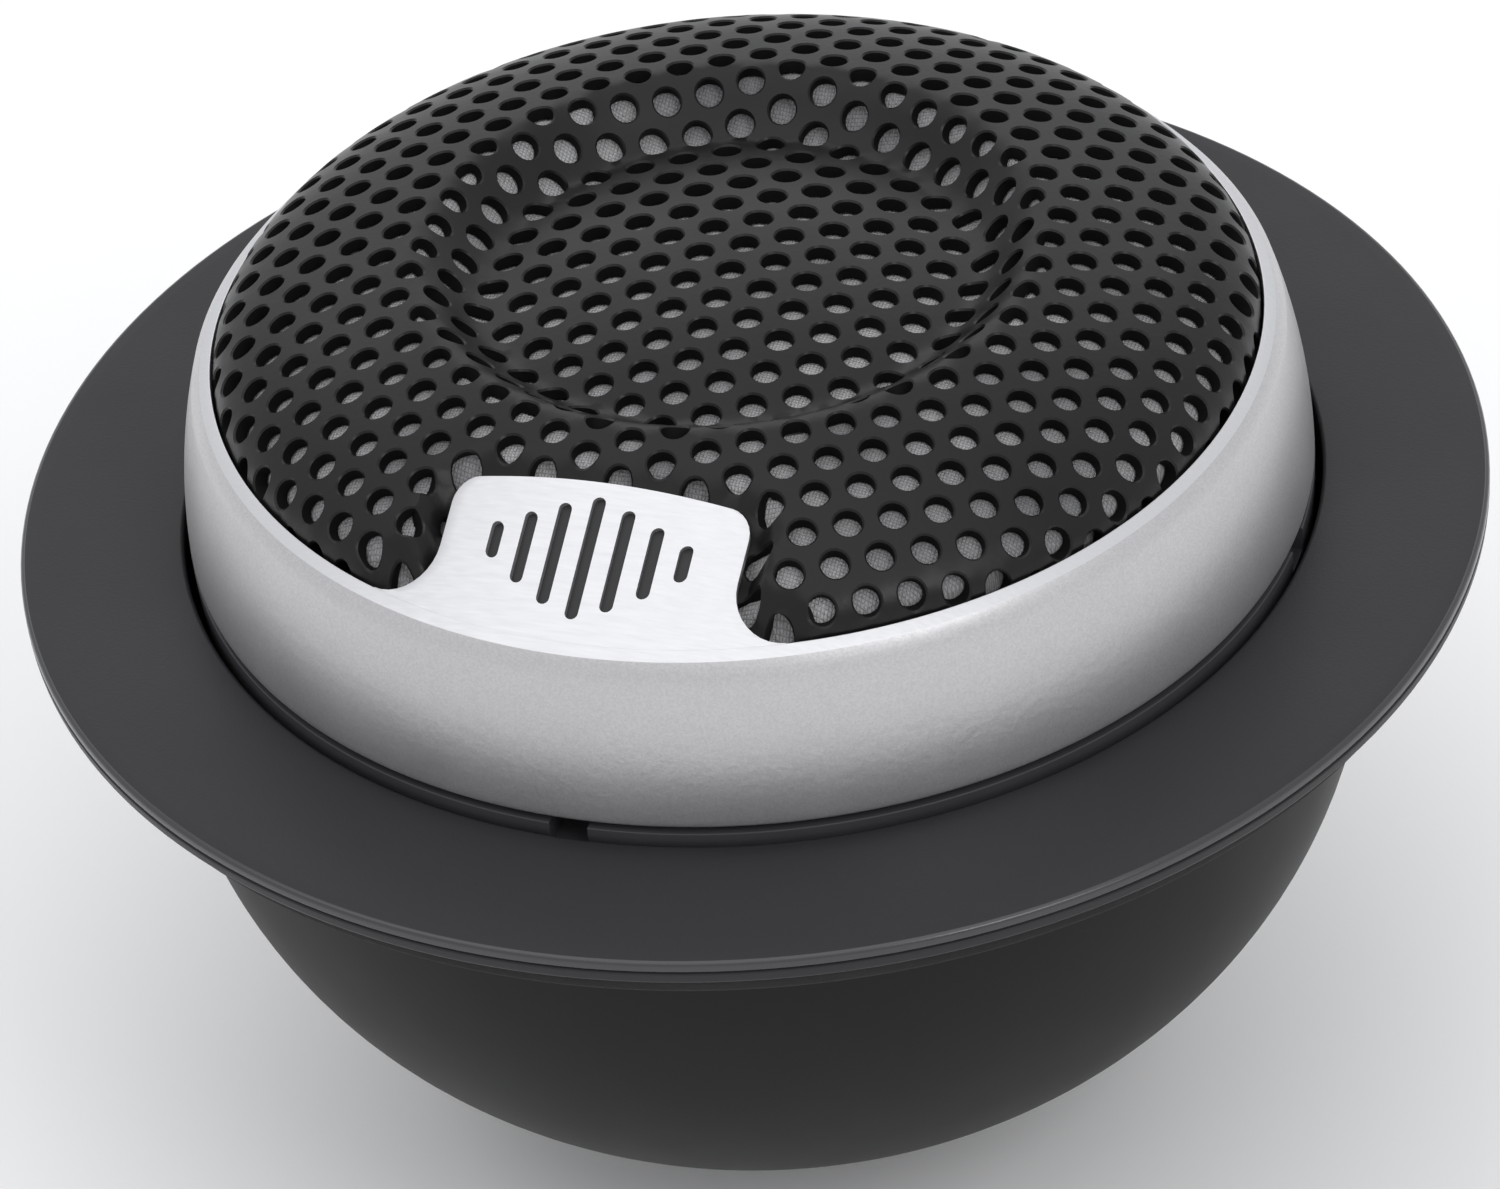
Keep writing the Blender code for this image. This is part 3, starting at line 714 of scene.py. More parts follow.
@dataclass
class FlangeAndCup:
    """Fixed half of the tweeter: trim flange, foam gasket and rear cup."""

    datum: Datum
    flange_radius: float = 31.0
    edge: float = 1.1
    bore: float = 24.05
    rise: float = 0.1
    lip: float = 0.36
    lip_line: float = -0.42
    crown_width: float = 0.7
    crown_radius: float = 3.0
    seam: float = 0.5
    seam_depth: float = 0.16
    seam_half: float = 0.08
    collar_wall: float = 0.85
    collar_depth: float = 4.4
    cup_radius: float = 25.9
    cup_depth: float = 22.5
    cup_centre: float = -6.3
    cup_power: float = 2.1
    wall: float = 1.6
    barbs: int = 4
    barb_size: Triple = (0.7, 3.0, 1.0)
    barb_depth: float = 3.2
    window_size: Triple = (2.0, 3.6, 1.6)
    shadow_gap: float = 0.3
    floor_hole: float = 4.7
    foam_outer: float = 30.2
    foam_inner: float = 27.0
    foam_thick: float = 0.8
    stud_shaft: float = 4.4
    stud_bore: float = 3.1
    stud_head: float = 7.4
    stud_top: float = -13.8

    def flange(self) -> Piece:
        """Turn the flange with the seam in its lip, and add the snap barbs.

        Returns:
            The flange, its lip in the buffed finish.
        """
        collar = self.bore + self.collar_wall
        edge = self.flange_radius
        corners = [
            (self.bore, self.rise, 0.2), (edge - self.crown_width, 0.02, self.crown_radius),
            (edge, -0.02, self.lip), (edge, self.seam_half - self.seam, 0.06),
            (edge - self.seam_depth, -self.seam, 0.03),
            (edge, -self.seam - self.seam_half, 0.06), (edge - 0.05, -self.edge, 0.22),
            (collar, -self.edge, 0.1),
            (collar, -self.collar_depth, 0.15), (self.bore, -self.collar_depth, 0.15)]
        ring = lathe("trim_flange", corners, self.datum.flange, FLANGE_ABS, per_arc=7)
        tools = [beam("barb", self.barb_size, self.spot(turn, collar), turn)
                 for turn in self.turns()]
        carve(ring, tools, "UNION")
        two_tone(ring.data, FLANGE_ABS, LIP_ABS, self.on_lip)
        return Piece(ring, Body.MOUNT, FLANGE_ABS, ("flange_ring",))

    def on_lip(self, face: bpy.types.MeshPolygon) -> bool:
        """Whether a face lies on the rounded upper lip."""
        away = math.hypot(face.center.x, face.center.y) / MM
        high = face.center.z / MM - self.datum.flange
        return away > self.flange_radius - self.lip and high > self.lip_line

    def turns(self) -> Iterable[float]:
        """Angles of the snap barbs."""
        return (math.radians(-45.0 + 360.0 * i / self.barbs) for i in range(self.barbs))

    def spot(self, turn: float, radius: float) -> Triple:
        """Centre of a barb or window at an angle and radius."""
        height = self.datum.flange - self.barb_depth
        return radius * math.cos(turn), radius * math.sin(turn), height

    def cup_line(self, offset: float, top: float, end: float, steps: int) -> list[Triple]:
        """Corners down the cup's wall, moved inward by an offset.

        Args:
            offset: distance inward from the outer face.
            top: height of the first corner over the flange plane.
            end: radius of the last corner, at the hole in the cup's floor.
            steps: number of steps down the wall.

        Returns:
            Outline corners, the first one rounded on the outer face.
        """
        across, down = self.cup_radius - offset, self.cup_depth - offset
        last = math.acos((end / across) ** (self.cup_power / 2))
        line = [(across, top, 0.2 if offset == 0.0 else 0.0)]
        for index in range(steps + 1):
            angle = last * index / steps
            line.append((across * math.cos(angle) ** (2 / self.cup_power),
                         self.cup_centre - down * math.sin(angle) ** (2 / self.cup_power), 0.0))
        return line

    def cup(self) -> Piece:
        """Turn the bowl and cut the snap windows.

        Returns:
            The cup, a shadow gap under the flange.
        """
        rim = -self.edge - self.shadow_gap
        rebate = self.bore + self.collar_wall + self.shadow_gap
        step = -self.collar_depth - self.shadow_gap
        corners = self.cup_line(0.0, rim, self.floor_hole, 40)
        corners += self.cup_line(self.wall, step, self.floor_hole, 24)[::-1]
        corners += [(rebate, step, 0.1), (rebate, rim, 0.15)]
        bowl = lathe("rear_bowl", corners, self.datum.flange, CUP_ABS)
        tools = [beam("window", self.window_size, self.spot(turn, self.cup_radius - 0.4), turn)
                 for turn in self.turns()]
        return Piece(carve(bowl, tools, "DIFFERENCE"), Body.MOUNT, CUP_ABS, ("rear_cup",))

    def gasket(self) -> Piece:
        """Turn the foam ring with soft edges.

        Returns:
            The gasket, under the flange.
        """
        top = -self.edge - self.shadow_gap
        low = top - self.foam_thick
        corners = [(self.foam_outer, top, 0.2), (self.foam_outer, low, 0.2),
                   (self.foam_inner, low, 0.2), (self.foam_inner, top, 0.2)]
        ring = lathe("foam_gasket", corners, self.datum.flange, FOAM)
        return Piece(ring, Body.MOUNT, FOAM, ("panel_gasket",))

    def stud(self) -> Piece:
        """Turn the hollow stud with its chamfered, dished head.

        Returns:
            The stud.
        """
        head = self.cup_centre - self.cup_depth - self.shadow_gap
        shaft, bore, wide, top = self.stud_shaft, self.stud_bore, self.stud_head, self.stud_top
        corners = [
            (shaft, top, 0.25), (shaft, head, 0.0), (wide, head, 0.1),
            (wide, head - 0.6, 0.1), (wide - 0.35, head - 0.9, 0.1),
            (bore + 1.1, head - 0.9, 0.05), (bore + 0.5, head - 0.6, 0.15),
            (bore, head - 0.3, 0.1), (bore, top, 0.25)]
        item = lathe("hollow_stud_turned", corners, self.datum.flange, ZINC, 96)
        return Piece(item, Body.MOUNT, ZINC, ("hollow_stud",))

    def build(self) -> list[Piece]:
        """Make every fixed piece that shows."""
        return [self.flange(), self.cup(), self.gasket(), self.stud()]


# --- tab


@dataclass
class TabPlan:
    """The bezel's tab seen from above: straight tip and sides, round corners.

    The tab stands at -Y. Its top is a cone that climbs from the rim inward.
    """

    rim: float = 21.87
    rim_height: float = 7.66
    slope: float = 0.56
    half: float = 6.2
    tip: float = 15.9
    corner: float = 0.95
    fillet: float = 1.7
    thick: float = 0.55

    def edge(self) -> np.ndarray:
        """Right-hand outline from the tip's corner to the rim.

        Returns:
            Points (x, y): the round corner, the straight side, the fillet.
        """
        start = self.tip + self.corner
        corner = sweep((self.half - self.corner, start), self.corner, math.pi, math.pi / 2, 6)
        across = self.half + self.fillet
        end = math.sqrt((self.rim - self.fillet) ** 2 - across ** 2)
        side = [(self.half, start + (end - start) * step / 5) for step in range(1, 5)]
        fillet = sweep((across, end), self.fillet, -math.pi / 2, math.atan2(across, end), 10)
        return np.vstack([corner, side, fillet]) * (1, -1)

    def top(self, x: np.ndarray, y: np.ndarray) -> np.ndarray:
        """Height of the tab's upper face."""
        return self.rim_height + self.slope * (self.rim - np.hypot(x, y))

    def outline(self) -> np.ndarray:
        """Closed outline, carried past the rim so that the root counts as inside."""
        right = self.edge()
        past = (9.6, -24.0)
        return np.vstack([right[::-1] * (-1, 1), right, [past, (-past[0], past[1])]])

    def distance(self, x: np.ndarray, y: np.ndarray) -> np.ndarray:
        """Distance of each point outside the outline, negative inside.

        Args:
            x: points' positions across.
            y: points' positions along.

        Returns:
            One distance for each point.
        """
        ring = self.outline()
        ahead = np.roll(ring, -1, axis=0)
        spot = np.stack([x, y], -1)[:, None, :]
        edge = (ahead - ring)[None]
        back = spot - ring[None]
        share = np.clip((back * edge).sum(-1) / np.maximum((edge ** 2).sum(-1), 1e-9), 0, 1)
        away = np.hypot(*np.moveaxis(back - edge * share[..., None], -1, 0)).min(1)
        cross = ((ring[None, :, 1] > spot[..., 1]) != (ahead[None, :, 1] > spot[..., 1])) & (
            spot[..., 0] < (ahead[None, :, 0] - ring[None, :, 0])
            * (spot[..., 1] - ring[None, :, 1])
            / np.where(np.abs(edge[..., 1]) < 1e-9, 1e-9, edge[..., 1]) + ring[None, :, 0])
        inside = cross.sum(1) % 2 == 1
        return np.where(inside, -away, away)


# --- bezel


@dataclass
class Bezel:
    """Silver ring with its tab and the engraved mark."""

    datum: Datum
    plan: TabPlan = field(default_factory=TabPlan)
    ball: float = 23.75
    bottom: float = 0.1
    face: float = 0.5
    stroke: float = 0.55
    depth: float = 0.32
    spacing: float = 1.32
    bars: tuple[float, ...] = (0.5, 1.25, 1.9, 2.35, 1.9, 1.25, 0.5)
    mark_radius: float = 18.75
    weld: float = 0.22
    sink: float = 0.012
    soft_edge: float = 0.13
    enamel: float = 0.05
    overlap: float = 0.01

    def ring(self) -> Thing:
        """Turn the ring: spherical side, crisp rim with a narrow sloping face.

        Returns:
            The ring, without its tab.
        """
        rim, inner = self.plan.rim_height, self.plan.rim
        fall = self.plan.slope * self.face
        side = arc(self.ball, rim - fall - 0.04, self.bottom, 18)
        corners = [(inner, rim, 0.04), (inner + self.face, rim - fall, 0.05)]
        corners += side[1:]
        corners[-1] = (*corners[-1][:2], 0.15)
        corners += [(inner, self.bottom, 0.1)]
        return lathe("silver_bezel", corners, self.datum.ball, SILVER, 256)

    def tab(self) -> Thing:
        """Loft the tab's face from its tip to the rim, then give it a wall.

        Rows run straight across the tip and bend to the rim's curve at the
        root, which reaches a little way into the ring so that the two weld.

        Returns:
            The tab as a closed solid.
        """
        edge = self.plan.edge()
        shares = np.linspace(-1.0, 1.0, 25)
        reach = self.plan.rim + self.weld
        last = edge[-1][0] + 0.1
        rows = list(edge) + [np.array([last, -math.sqrt(reach ** 2 - last ** 2)])]
        straight = 8
        points = []
        for index, (wide, low) in enumerate(rows):
            bend = max(0.0, (index - straight) / (len(rows) - straight - 1)) ** 2
            sag = np.sqrt(reach ** 2 - (shares * wide) ** 2) - math.sqrt(reach ** 2 - wide ** 2)
            x, y = shares * wide, low - bend * sag
            z = self.plan.top(x, y) - self.sink
            points.append(np.stack([x, y, z + self.datum.ball], -1))
        wide = len(shares)
        faces = [(r * wide + c, (r + 1) * wide + c, (r + 1) * wide + c + 1, r * wide + c + 1)
                 for r in range(len(rows) - 1) for c in range(wide - 1)]
        mesh = bpy.data.meshes.new("tab")
        mesh.from_pydata((np.concatenate(points) * MM).tolist(), [], faces)
        item = link("tab", mesh)
        wall = item.modifiers.new("Wall", "SOLIDIFY")
        wall.thickness = self.plan.thick * MM
        wall.offset = -1.0
        soften = item.modifiers.new("Edge", "BEVEL")
        soften.width = self.soft_edge * MM
        soften.segments = 3
        soften.limit_method = "ANGLE"
        soften.angle_limit = math.radians(50)
        tidy(bake(item))
        return item

    def strokes(self) -> list[list[tuple[float, float]]]:
        """Centre lines of the mark, bars of a level meter, as (x, along)."""
        middle = len(self.bars) // 2
        return [[((index - middle) * self.spacing, share * half) for share in (-1, 0, 1)]
                for index, half in enumerate(self.bars)]

    def on_cone(self, x: float, along: float, height: float) -> Triple:
        """Point on or over the tab's sloping face.

        Args:
            x: distance across, along the curve.
            along: distance up the slope from the mark's middle.
            height: distance out of the face.

        Returns:
            The point, in millimetres over the floor.
        """
        lean = math.atan(self.plan.slope)
        radius = self.mark_radius - along * math.cos(lean)
        turn = x / radius
        out = radius + height * math.sin(lean)
        base = self.plan.rim_height + self.plan.slope * (self.plan.rim - radius)
        return (out * math.sin(turn), -out * math.cos(turn),
                base + height * math.cos(lean) + self.datum.ball)

    def capsule(self, name: str, line: list[tuple[float, float]], low: float, high: float,
                half: float, finish: Finish | None) -> Thing:
        """A round-ended stroke between two heights over the tab's face.

        Args:
            name: the object's name.
            line: points of the stroke's centre line, (x, along).
            low: height of its floor.
            high: height of its top.
            half: half its width.
            finish: its finish, or None for a cutting tool.

        Returns:
            A closed solid.
        """
        first, last = Vector(line[0]), Vector(line[-1])
        run = (last - first).normalized()
        aside = Vector((-run.y, run.x)) * half
        ring = [Vector(p) + aside for p in line]
        for end, spoke in ((last, aside), (first, -aside)):
            for step in range(1, 8):
                ring.append(end + Matrix.Rotation(-math.pi * step / 8, 2) @ spoke)
            if end is last:
                ring += [Vector(p) - aside for p in line[::-1]]
        count = len(ring)
        points = [self.on_cone(p.x, p.y, h) for h in (low, high) for p in ring]
        faces = [tuple(range(count))[::-1], tuple(range(count, 2 * count))]
        faces += [(i, (i + 1) % count, (i + 1) % count + count, i + count)
                  for i in range(count)]
        return link(name, to_mesh(name, np.array(points), faces), finish)

    def build(self) -> list[Piece]:
        """Join ring and tab, engrave the mark and fill it with enamel.

        Faces that look up from the rim and the tab take the lighter brushed finish, partly
        painted light on the lit tops.

        Returns:
            The bezel and the enamel in each bar.
        """
        ring = carve(self.ring(), [self.tab()], "UNION")
        lines = self.strokes()
        tools = [self.capsule("groove", line, -self.depth, 0.6, self.stroke / 2, None)
                 for line in lines]
        carve(ring, tools, "DIFFERENCE", 30.0)
        # Upward faces get the lighter finish: partly a rubbed face, partly painted light for
        # their brighter tops.
        level = (self.datum.ball + self.plan.rim_height - 0.5) * MM
        two_tone(ring.data, SILVER, BRIGHT,
                 lambda face: face.normal.z > 0.8 and face.center.z > level)
        pieces = [Piece(ring, Body.EYEBALL, SILVER, ("bezel_ring",))]
        for index, line in enumerate(lines):
            fill = self.capsule(f"mark_enamel_{index + 1}", line,
                                self.overlap - self.depth - self.enamel,
                                self.enamel - self.depth, self.stroke / 2 + self.overlap, ENAMEL)
            pieces.append(Piece(fill, Body.EYEBALL, ENAMEL))
        return pieces


# --- grille and cloth


@dataclass
class SheetForm:
    """The pressed form of the grille: crown, valley and shallow dome.

    edge and base place the sheet's foot, and cap is the crown's rise over it.
    dome is the height at the middle, falling by dome_drop to the valley. The
    form climbs from the valley's radius to the crown's. tab_drop is the depth
    of the pocket under the tab, and tab_roll the width of the pocket's wall.
    """

    plan: TabPlan = field(default_factory=TabPlan)
    edge: float = 21.76
    base: float = 7.5
    cap: float = 5.2
    dome: float = 10.9
    dome_drop: float = 1.1
    valley: float = 9.8
    crown: float = 13.2
    stretch: float = 0.8
    tab_drop: float = 0.66
    tab_roll: float = 1.2
    skirt: float = 1.7
    tab_gap: float = 0.12

    def rise(self, radius: np.ndarray) -> np.ndarray:
        """Height of the sheet's outer face, before the tab's pocket.

        Args:
            radius: distances from the axis.

        Returns:
            One height for each radius, over the ball's centre.
        """
        cap = self.base + self.cap * np.sqrt(
            np.clip(1 - (radius / self.edge) ** 2, 0, None))
        dome = self.dome - self.dome_drop * (radius / self.valley) ** 2
        share = np.clip((radius - self.valley) / (self.crown - self.valley), 0, 1)
        return dome + (cap - dome) * share * share * (3 - 2 * share)

    def table(self) -> tuple[np.ndarray, np.ndarray, np.ndarray]:
        """Blank radius to pressed radius and height.

        The sheet stretches where it is steep: the share of the slope that it
        gives by stretching is one minus the stretch exponent.

        Returns:
            Blank radii, and the pressed radius and height at each.
        """
        turns = np.linspace(0.0, math.pi / 2, 3000)
        radius = self.edge * np.sin(turns)
        height = self.rise(radius)
        step_r, step_z = np.diff(radius), np.diff(height)
        length = np.hypot(step_r, step_z)
        flat = step_r ** (1 - self.stretch) * length ** self.stretch
        blank = np.concatenate([[0.0], np.cumsum(flat)])
        blank = np.append(blank, blank[-1] + self.skirt)
        radius = np.append(radius, radius[-1])
        height = np.append(height, height[-1] - self.skirt)
        return blank, radius, height

    def place(self, x: np.ndarray, y: np.ndarray, tables: tuple) -> np.ndarray:
        """Pressed position of points of the flat blank's outer face.

        Args:
            x: points' positions across.
            y: points' positions along.
            tables: what table() returned.

        Returns:
            Points (x, y, height) over the ball's centre.
        """
        blank, radii, heights = tables
        away = np.hypot(x, y)
        radius = np.interp(away, blank, radii)
        height = np.interp(away, blank, heights)
        scale = radius / np.maximum(away, 1e-6)
        px, py = x * scale, y * scale
        gap = self.plan.distance(px, py)
        share = np.clip((gap - self.tab_gap) / self.tab_roll, 0, 1)
        blend = 1 - share * share * (3 - 2 * share)
        floor = self.plan.top(px, py) - self.tab_drop
        height = height - np.clip(height - floor, 0, None) * blend
        return np.stack([px, py, height], -1)

    def press(self, flat: np.ndarray) -> np.ndarray:
        """Press points of the flat blank onto the form.

        Args:
            flat: points (x, y, height over the blank's outer face).

        Returns:
            Points (x, y, height) over the ball's centre.
        """
        tables = self.table()
        nudge = 0.02
        x, y = flat[:, 0], flat[:, 1]
        here = self.place(x, y, tables)
        east = self.place(x + nudge, y, tables) - self.place(x - nudge, y, tables)
        north = self.place(x, y + nudge, tables) - self.place(x, y - nudge, tables)
        normal = np.cross(east, north)
        normal /= np.maximum(np.linalg.norm(normal, axis=1, keepdims=True), 1e-9)
        return here + normal * flat[:, 2:3]


@dataclass
class Grille:
    """Punched steel sheet: a flat perforated blank, pressed to its form."""

    datum: Datum
    form: SheetForm = field(default_factory=SheetForm)
    pitch: float = 1.9
    hole: float = 1.2
    sheet: float = 0.6
    rows: int = 31
    columns: int = 35
    shift: tuple[float, float] = (0.37, 0.05)
    sides: int = 18
    burr: float = 0.075
    spare: float = 0.95

    def cell(self) -> Thing:
        """One hexagon of sheet round one hole, its punched edge rolled over.

        Returns:
            An open tube of faces whose hexagonal borders weld to the next cell's.
        """
        turns = np.arange(7) * math.pi / 3
        corners = np.stack([np.cos(turns), np.sin(turns)], -1) * self.pitch / math.sqrt(3)
        per_edge = self.sides // 6
        border = np.concatenate([
            corners[i] + (corners[i + 1] - corners[i]) * np.arange(per_edge)[:, None] / per_edge
            for i in range(6)])
        bearing = np.arctan2(border[:, 1], border[:, 0])
        circle = np.stack([np.cos(bearing), np.sin(bearing)], -1)
        half = self.hole / 2
        levels = [(border, 0.0), (circle * (half + self.burr), 0.0), (circle * half, -self.burr),
                  (circle * half, -self.sheet), (border, -self.sheet)]
        points = [(x * MM, y * MM, z * MM) for ring, z in levels for x, y in ring]
        mesh = bpy.data.meshes.new("cell")
        mesh.from_pydata(points, [], quads(len(levels), self.sides, False))
        return link("cell", mesh)

    def tree(self) -> Tree:
        """Geometry Nodes tree that lays the cells on a staggered lattice.

        It keeps the cells inside Radius, welds them, and gives the faces in
        the holes their own material.

        Returns:
            The tree, with a named input for each value.
        """
        tree = bpy.data.node_groups.new("perforated_blank", "GeometryNodeTree")
        face = tree.interface
        face.new_socket("Geometry", in_out="OUTPUT", socket_type="NodeSocketGeometry")
        for name, kind in (("Cell", "Object"), ("Pitch", "Float"), ("Rows", "Int"),
                           ("Columns", "Int"), ("Shift", "Vector"), ("Radius", "Float"),
                           ("Finish", "Material"), ("Hole Wall", "Material")):
            face.new_socket(name, in_out="INPUT", socket_type=f"NodeSocket{kind}")
        given = tree.nodes.new("NodeGroupInput").outputs

        def step(operation: str, *values: Socket | float) -> Socket:
            """One arithmetic step in this tree."""
            return maths(tree, operation, *values)

        def put(kind: str, inputs: dict, **settings: object) -> Socket:
            """A node's first output."""
            return add_node(tree, kind, inputs, **settings).outputs[0]

        def centred(number: Socket, total: str) -> Socket:
            """A row's or column's number counted from the middle one."""
            return step("SUBTRACT", number,
                        step("DIVIDE", step("SUBTRACT", given[total], 1.0), 2.0))

        index = tree.nodes.new("GeometryNodeInputIndex").outputs[0]
        column = step("FLOOR", step("DIVIDE", index, given["Rows"]))
        row = step("SUBTRACT", index, step("MULTIPLY", column, given["Rows"]))
        x = step("MULTIPLY", centred(column, "Columns"),
                 step("MULTIPLY", given["Pitch"], math.cos(math.pi / 6)))
        stagger = step("MULTIPLY", step("MODULO", column, 2.0), 0.5)
        y = step("MULTIPLY", step("ADD", centred(row, "Rows"), stagger), given["Pitch"])
        spot = put("ShaderNodeVectorMath", {
            0: put("ShaderNodeCombineXYZ", {"X": x, "Y": y}), 1: given["Shift"]},
            operation="ADD")
        count = step("MULTIPLY", given["Rows"], given["Columns"])
        points = put("GeometryNodePoints", {"Count": count, "Position": spot})
        where = tree.nodes.new("GeometryNodeInputPosition").outputs[0]
        away = add_node(tree, "ShaderNodeVectorMath", {0: where}, operation="LENGTH")
        outside = put("FunctionNodeCompare", {0: away.outputs["Value"], 1: given["Radius"]},
                      operation="GREATER_THAN")
        kept = put("GeometryNodeDeleteGeometry", {"Geometry": points, "Selection": outside})
        info = add_node(tree, "GeometryNodeObjectInfo", {"Object": given["Cell"]})
        cells = put("GeometryNodeInstanceOnPoints", {
            "Points": kept, "Instance": info.outputs["Geometry"]})
        real = put("GeometryNodeRealizeInstances", {"Geometry": cells})
        weld = put("GeometryNodeMergeByDistance", {"Geometry": real, "Distance": 0.01 * MM})
        painted = put("GeometryNodeSetMaterial", {"Geometry": weld, "Material": given["Finish"]})
        facing = add_node(tree, "ShaderNodeSeparateXYZ", {
            0: tree.nodes.new("GeometryNodeInputNormal").outputs[0]}).outputs["Z"]
        upright = put("FunctionNodeCompare", {0: step("ABSOLUTE", facing), 1: 0.5},
                      operation="LESS_THAN")
        walled = put("GeometryNodeSetMaterial", {
            "Geometry": painted, "Selection": upright, "Material": given["Hole Wall"]})
        add_node(tree, "NodeGroupOutput", {0: walled})
        return tree

    def blank(self) -> Thing:
        """Run the tree on an empty object.

        Returns:
            The flat blank as a plain mesh object.
        """
        tree = self.tree()
        cell = self.cell()
        item = link("steel_grille", bpy.data.meshes.new("seed"))
        step = item.modifiers.new("Perforate", "NODES")
        step.node_group = tree
        sockets = {s.name: s.identifier for s in tree.interface.items_tree
                   if s.in_out == "INPUT"}
        values = {"Cell": cell, "Pitch": self.pitch * MM, "Rows": self.rows,
                  "Columns": self.columns, "Shift": [v * MM for v in (*self.shift, 0.0)],
                  "Radius": (self.form.table()[0][-1] + self.spare) * MM, "Finish": POWDER.make(),
                  "Hole Wall": HOLE_WALL.make()}
        for name, value in values.items():
            step[sockets[name]] = value
        bake(item)
        bpy.data.objects.remove(cell)
        bpy.data.node_groups.remove(tree)
        return item

    def trim(self, mesh: bpy.types.Mesh) -> None:
        """Shear the flat blank to a disc and close its cut edge.

        Args:
            mesh: the flat blank, in metres; its points are moved in place.
        """
        work = bmesh.new()
        work.from_mesh(mesh)
        end = self.form.table()[0][-1] * MM
        for vert in work.verts:
            away = math.hypot(vert.co.x, vert.co.y)
            if away > end:
                vert.co.x *= end / away
                vert.co.y *= end / away
        bmesh.ops.dissolve_degenerate(work, dist=0.004 * MM, edges=work.edges)
        beyond = [f for f in work.faces if all(
            math.hypot(v.co.x, v.co.y) > end - 0.002 * MM for v in f.verts)]
        bmesh.ops.delete(work, geom=beyond, context="FACES")
        bmesh.ops.bridge_loops(work, edges=[e for e in work.edges if e.is_boundary])
        work.to_mesh(mesh)
        work.free()

    def build(self) -> list[Piece]:
        """Trim the blank and press it to its form.

        Returns:
            The grille, its hole walls in their own finish.
        """
        item = self.blank()
        mesh = item.data
        self.trim(mesh)
        flat = np.empty(len(mesh.vertices) * 3)
        mesh.vertices.foreach_get("co", flat)
        pressed = self.form.press(flat.reshape(-1, 3) / MM)
        pressed[:, 2] += self.datum.ball
        mesh.vertices.foreach_set("co", (pressed * MM).ravel())
        mesh.update()
        tidy(mesh, 33.0)
        return [Piece(item, Body.EYEBALL, POWDER, ("grille",))]


@dataclass
class Cloth:
    """Round of woven cloth stretched behind the grille.

    drop is how far it lies behind the grille's outer face.
    """

    datum: Datum
    form: SheetForm = field(default_factory=SheetForm)
    drop: float = 0.7
    thick: float = 0.2
    rings: int = 60
    segments: int = 144

    def build(self) -> list[Piece]:
        """Lay a polar grid under the sheet and give it the cloth's thickness.

        Returns:
            The cloth, riding on the eyeball.
        """
        flat = [(0.0, 0.0, -self.drop)]
        reach = self.form.table()[0][-1] - 0.1
        for ring in range(1, self.rings + 1):
            radius = reach * ring / self.rings
            for step in range(self.segments):
                turn = 2 * math.pi * step / self.segments
                flat.append((radius * math.cos(turn), radius * math.sin(turn), -self.drop))
        upper = self.form.press(np.array(flat))
        upper[:, 2] += self.datum.ball
        count = len(upper)
        lower = upper - np.array([0.0, 0.0, self.thick])
        faces = []
        for step in range(self.segments):
            ahead = (step + 1) % self.segments
            faces.append((0, 1 + step, 1 + ahead))
            for ring in range(self.rings - 1):
                a, b = 1 + ring * self.segments, 1 + (ring + 1) * self.segments
                faces.append((a + step, b + step, b + ahead, a + ahead))
        under = [tuple(i + count for i in face[::-1]) for face in faces]
        rim = 1 + (self.rings - 1) * self.segments
        wall = [(rim + s, rim + s + count, rim + (s + 1) % self.segments + count,
                 rim + (s + 1) % self.segments) for s in range(self.segments)]
        mesh = to_mesh("grey_cloth_round", np.vstack([upper, lower]), faces + under + wall, 60.0)
        item = link("grey_cloth_round", mesh, CLOTH)
        steps = np.diff(upper[[0] + [1 + r * self.segments for r in range(self.rings)]], axis=0)
        return [Piece(item, Body.EYEBALL, CLOTH, ("acoustic_cloth",))]


# --- ball shell


@dataclass
class BallShell:
    """Black shell under the bezel; only its slotted rim shows."""

    datum: Datum
    ball: float = 23.75
    wall: float = 1.4
    top: float = -0.2
    spigot: float = 21.5
    spigot_top: float = 5.0
    spigot_wall: float = 1.1
    floor_hole: float = 9.02
    slots: int = 4
    slot_size: Triple = (4.4, 1.6, 2.2)

    def build(self) -> list[Piece]:
        """Turn the shell and cut its pry slots.

        Returns:
            The shell.
        """
        inner = self.ball - self.wall
        lower = -math.sqrt(self.ball ** 2 - self.floor_hole ** 2)
        inside = -math.sqrt(inner ** 2 - self.floor_hole ** 2)
        corners = [(self.spigot, self.spigot_top, 0.2), (self.spigot, self.top, 0.0)]
        side = arc(self.ball, self.top, lower, 30)
        side[0] = (*side[0][:2], 0.05)
        corners += side
        corners += arc(inner, -9.0, inside, 16)[::-1]
        inside_spigot = self.spigot - self.spigot_wall
        corners += [(inside_spigot, -7.0, 0.0), (inside_spigot, self.spigot_top, 0.2)]
        # The shell's paler colour is painted light on the band under the bezel.
        shell = lathe("black_ball_shell", corners, self.datum.ball, BALL_ABS, per_arc=3)
        tools = []
        for index in range(self.slots):
            turn = math.radians(-90 + 360 * index / self.slots)
            spot = (self.ball * math.cos(turn), self.ball * math.sin(turn),
                    self.datum.ball + self.top)
            tools.append(beam("slot", self.slot_size, spot, turn))
        carve(shell, tools, "DIFFERENCE")
        return [Piece(shell, Body.EYEBALL, BALL_ABS, ("ball_shell",))]


# --- inner pieces


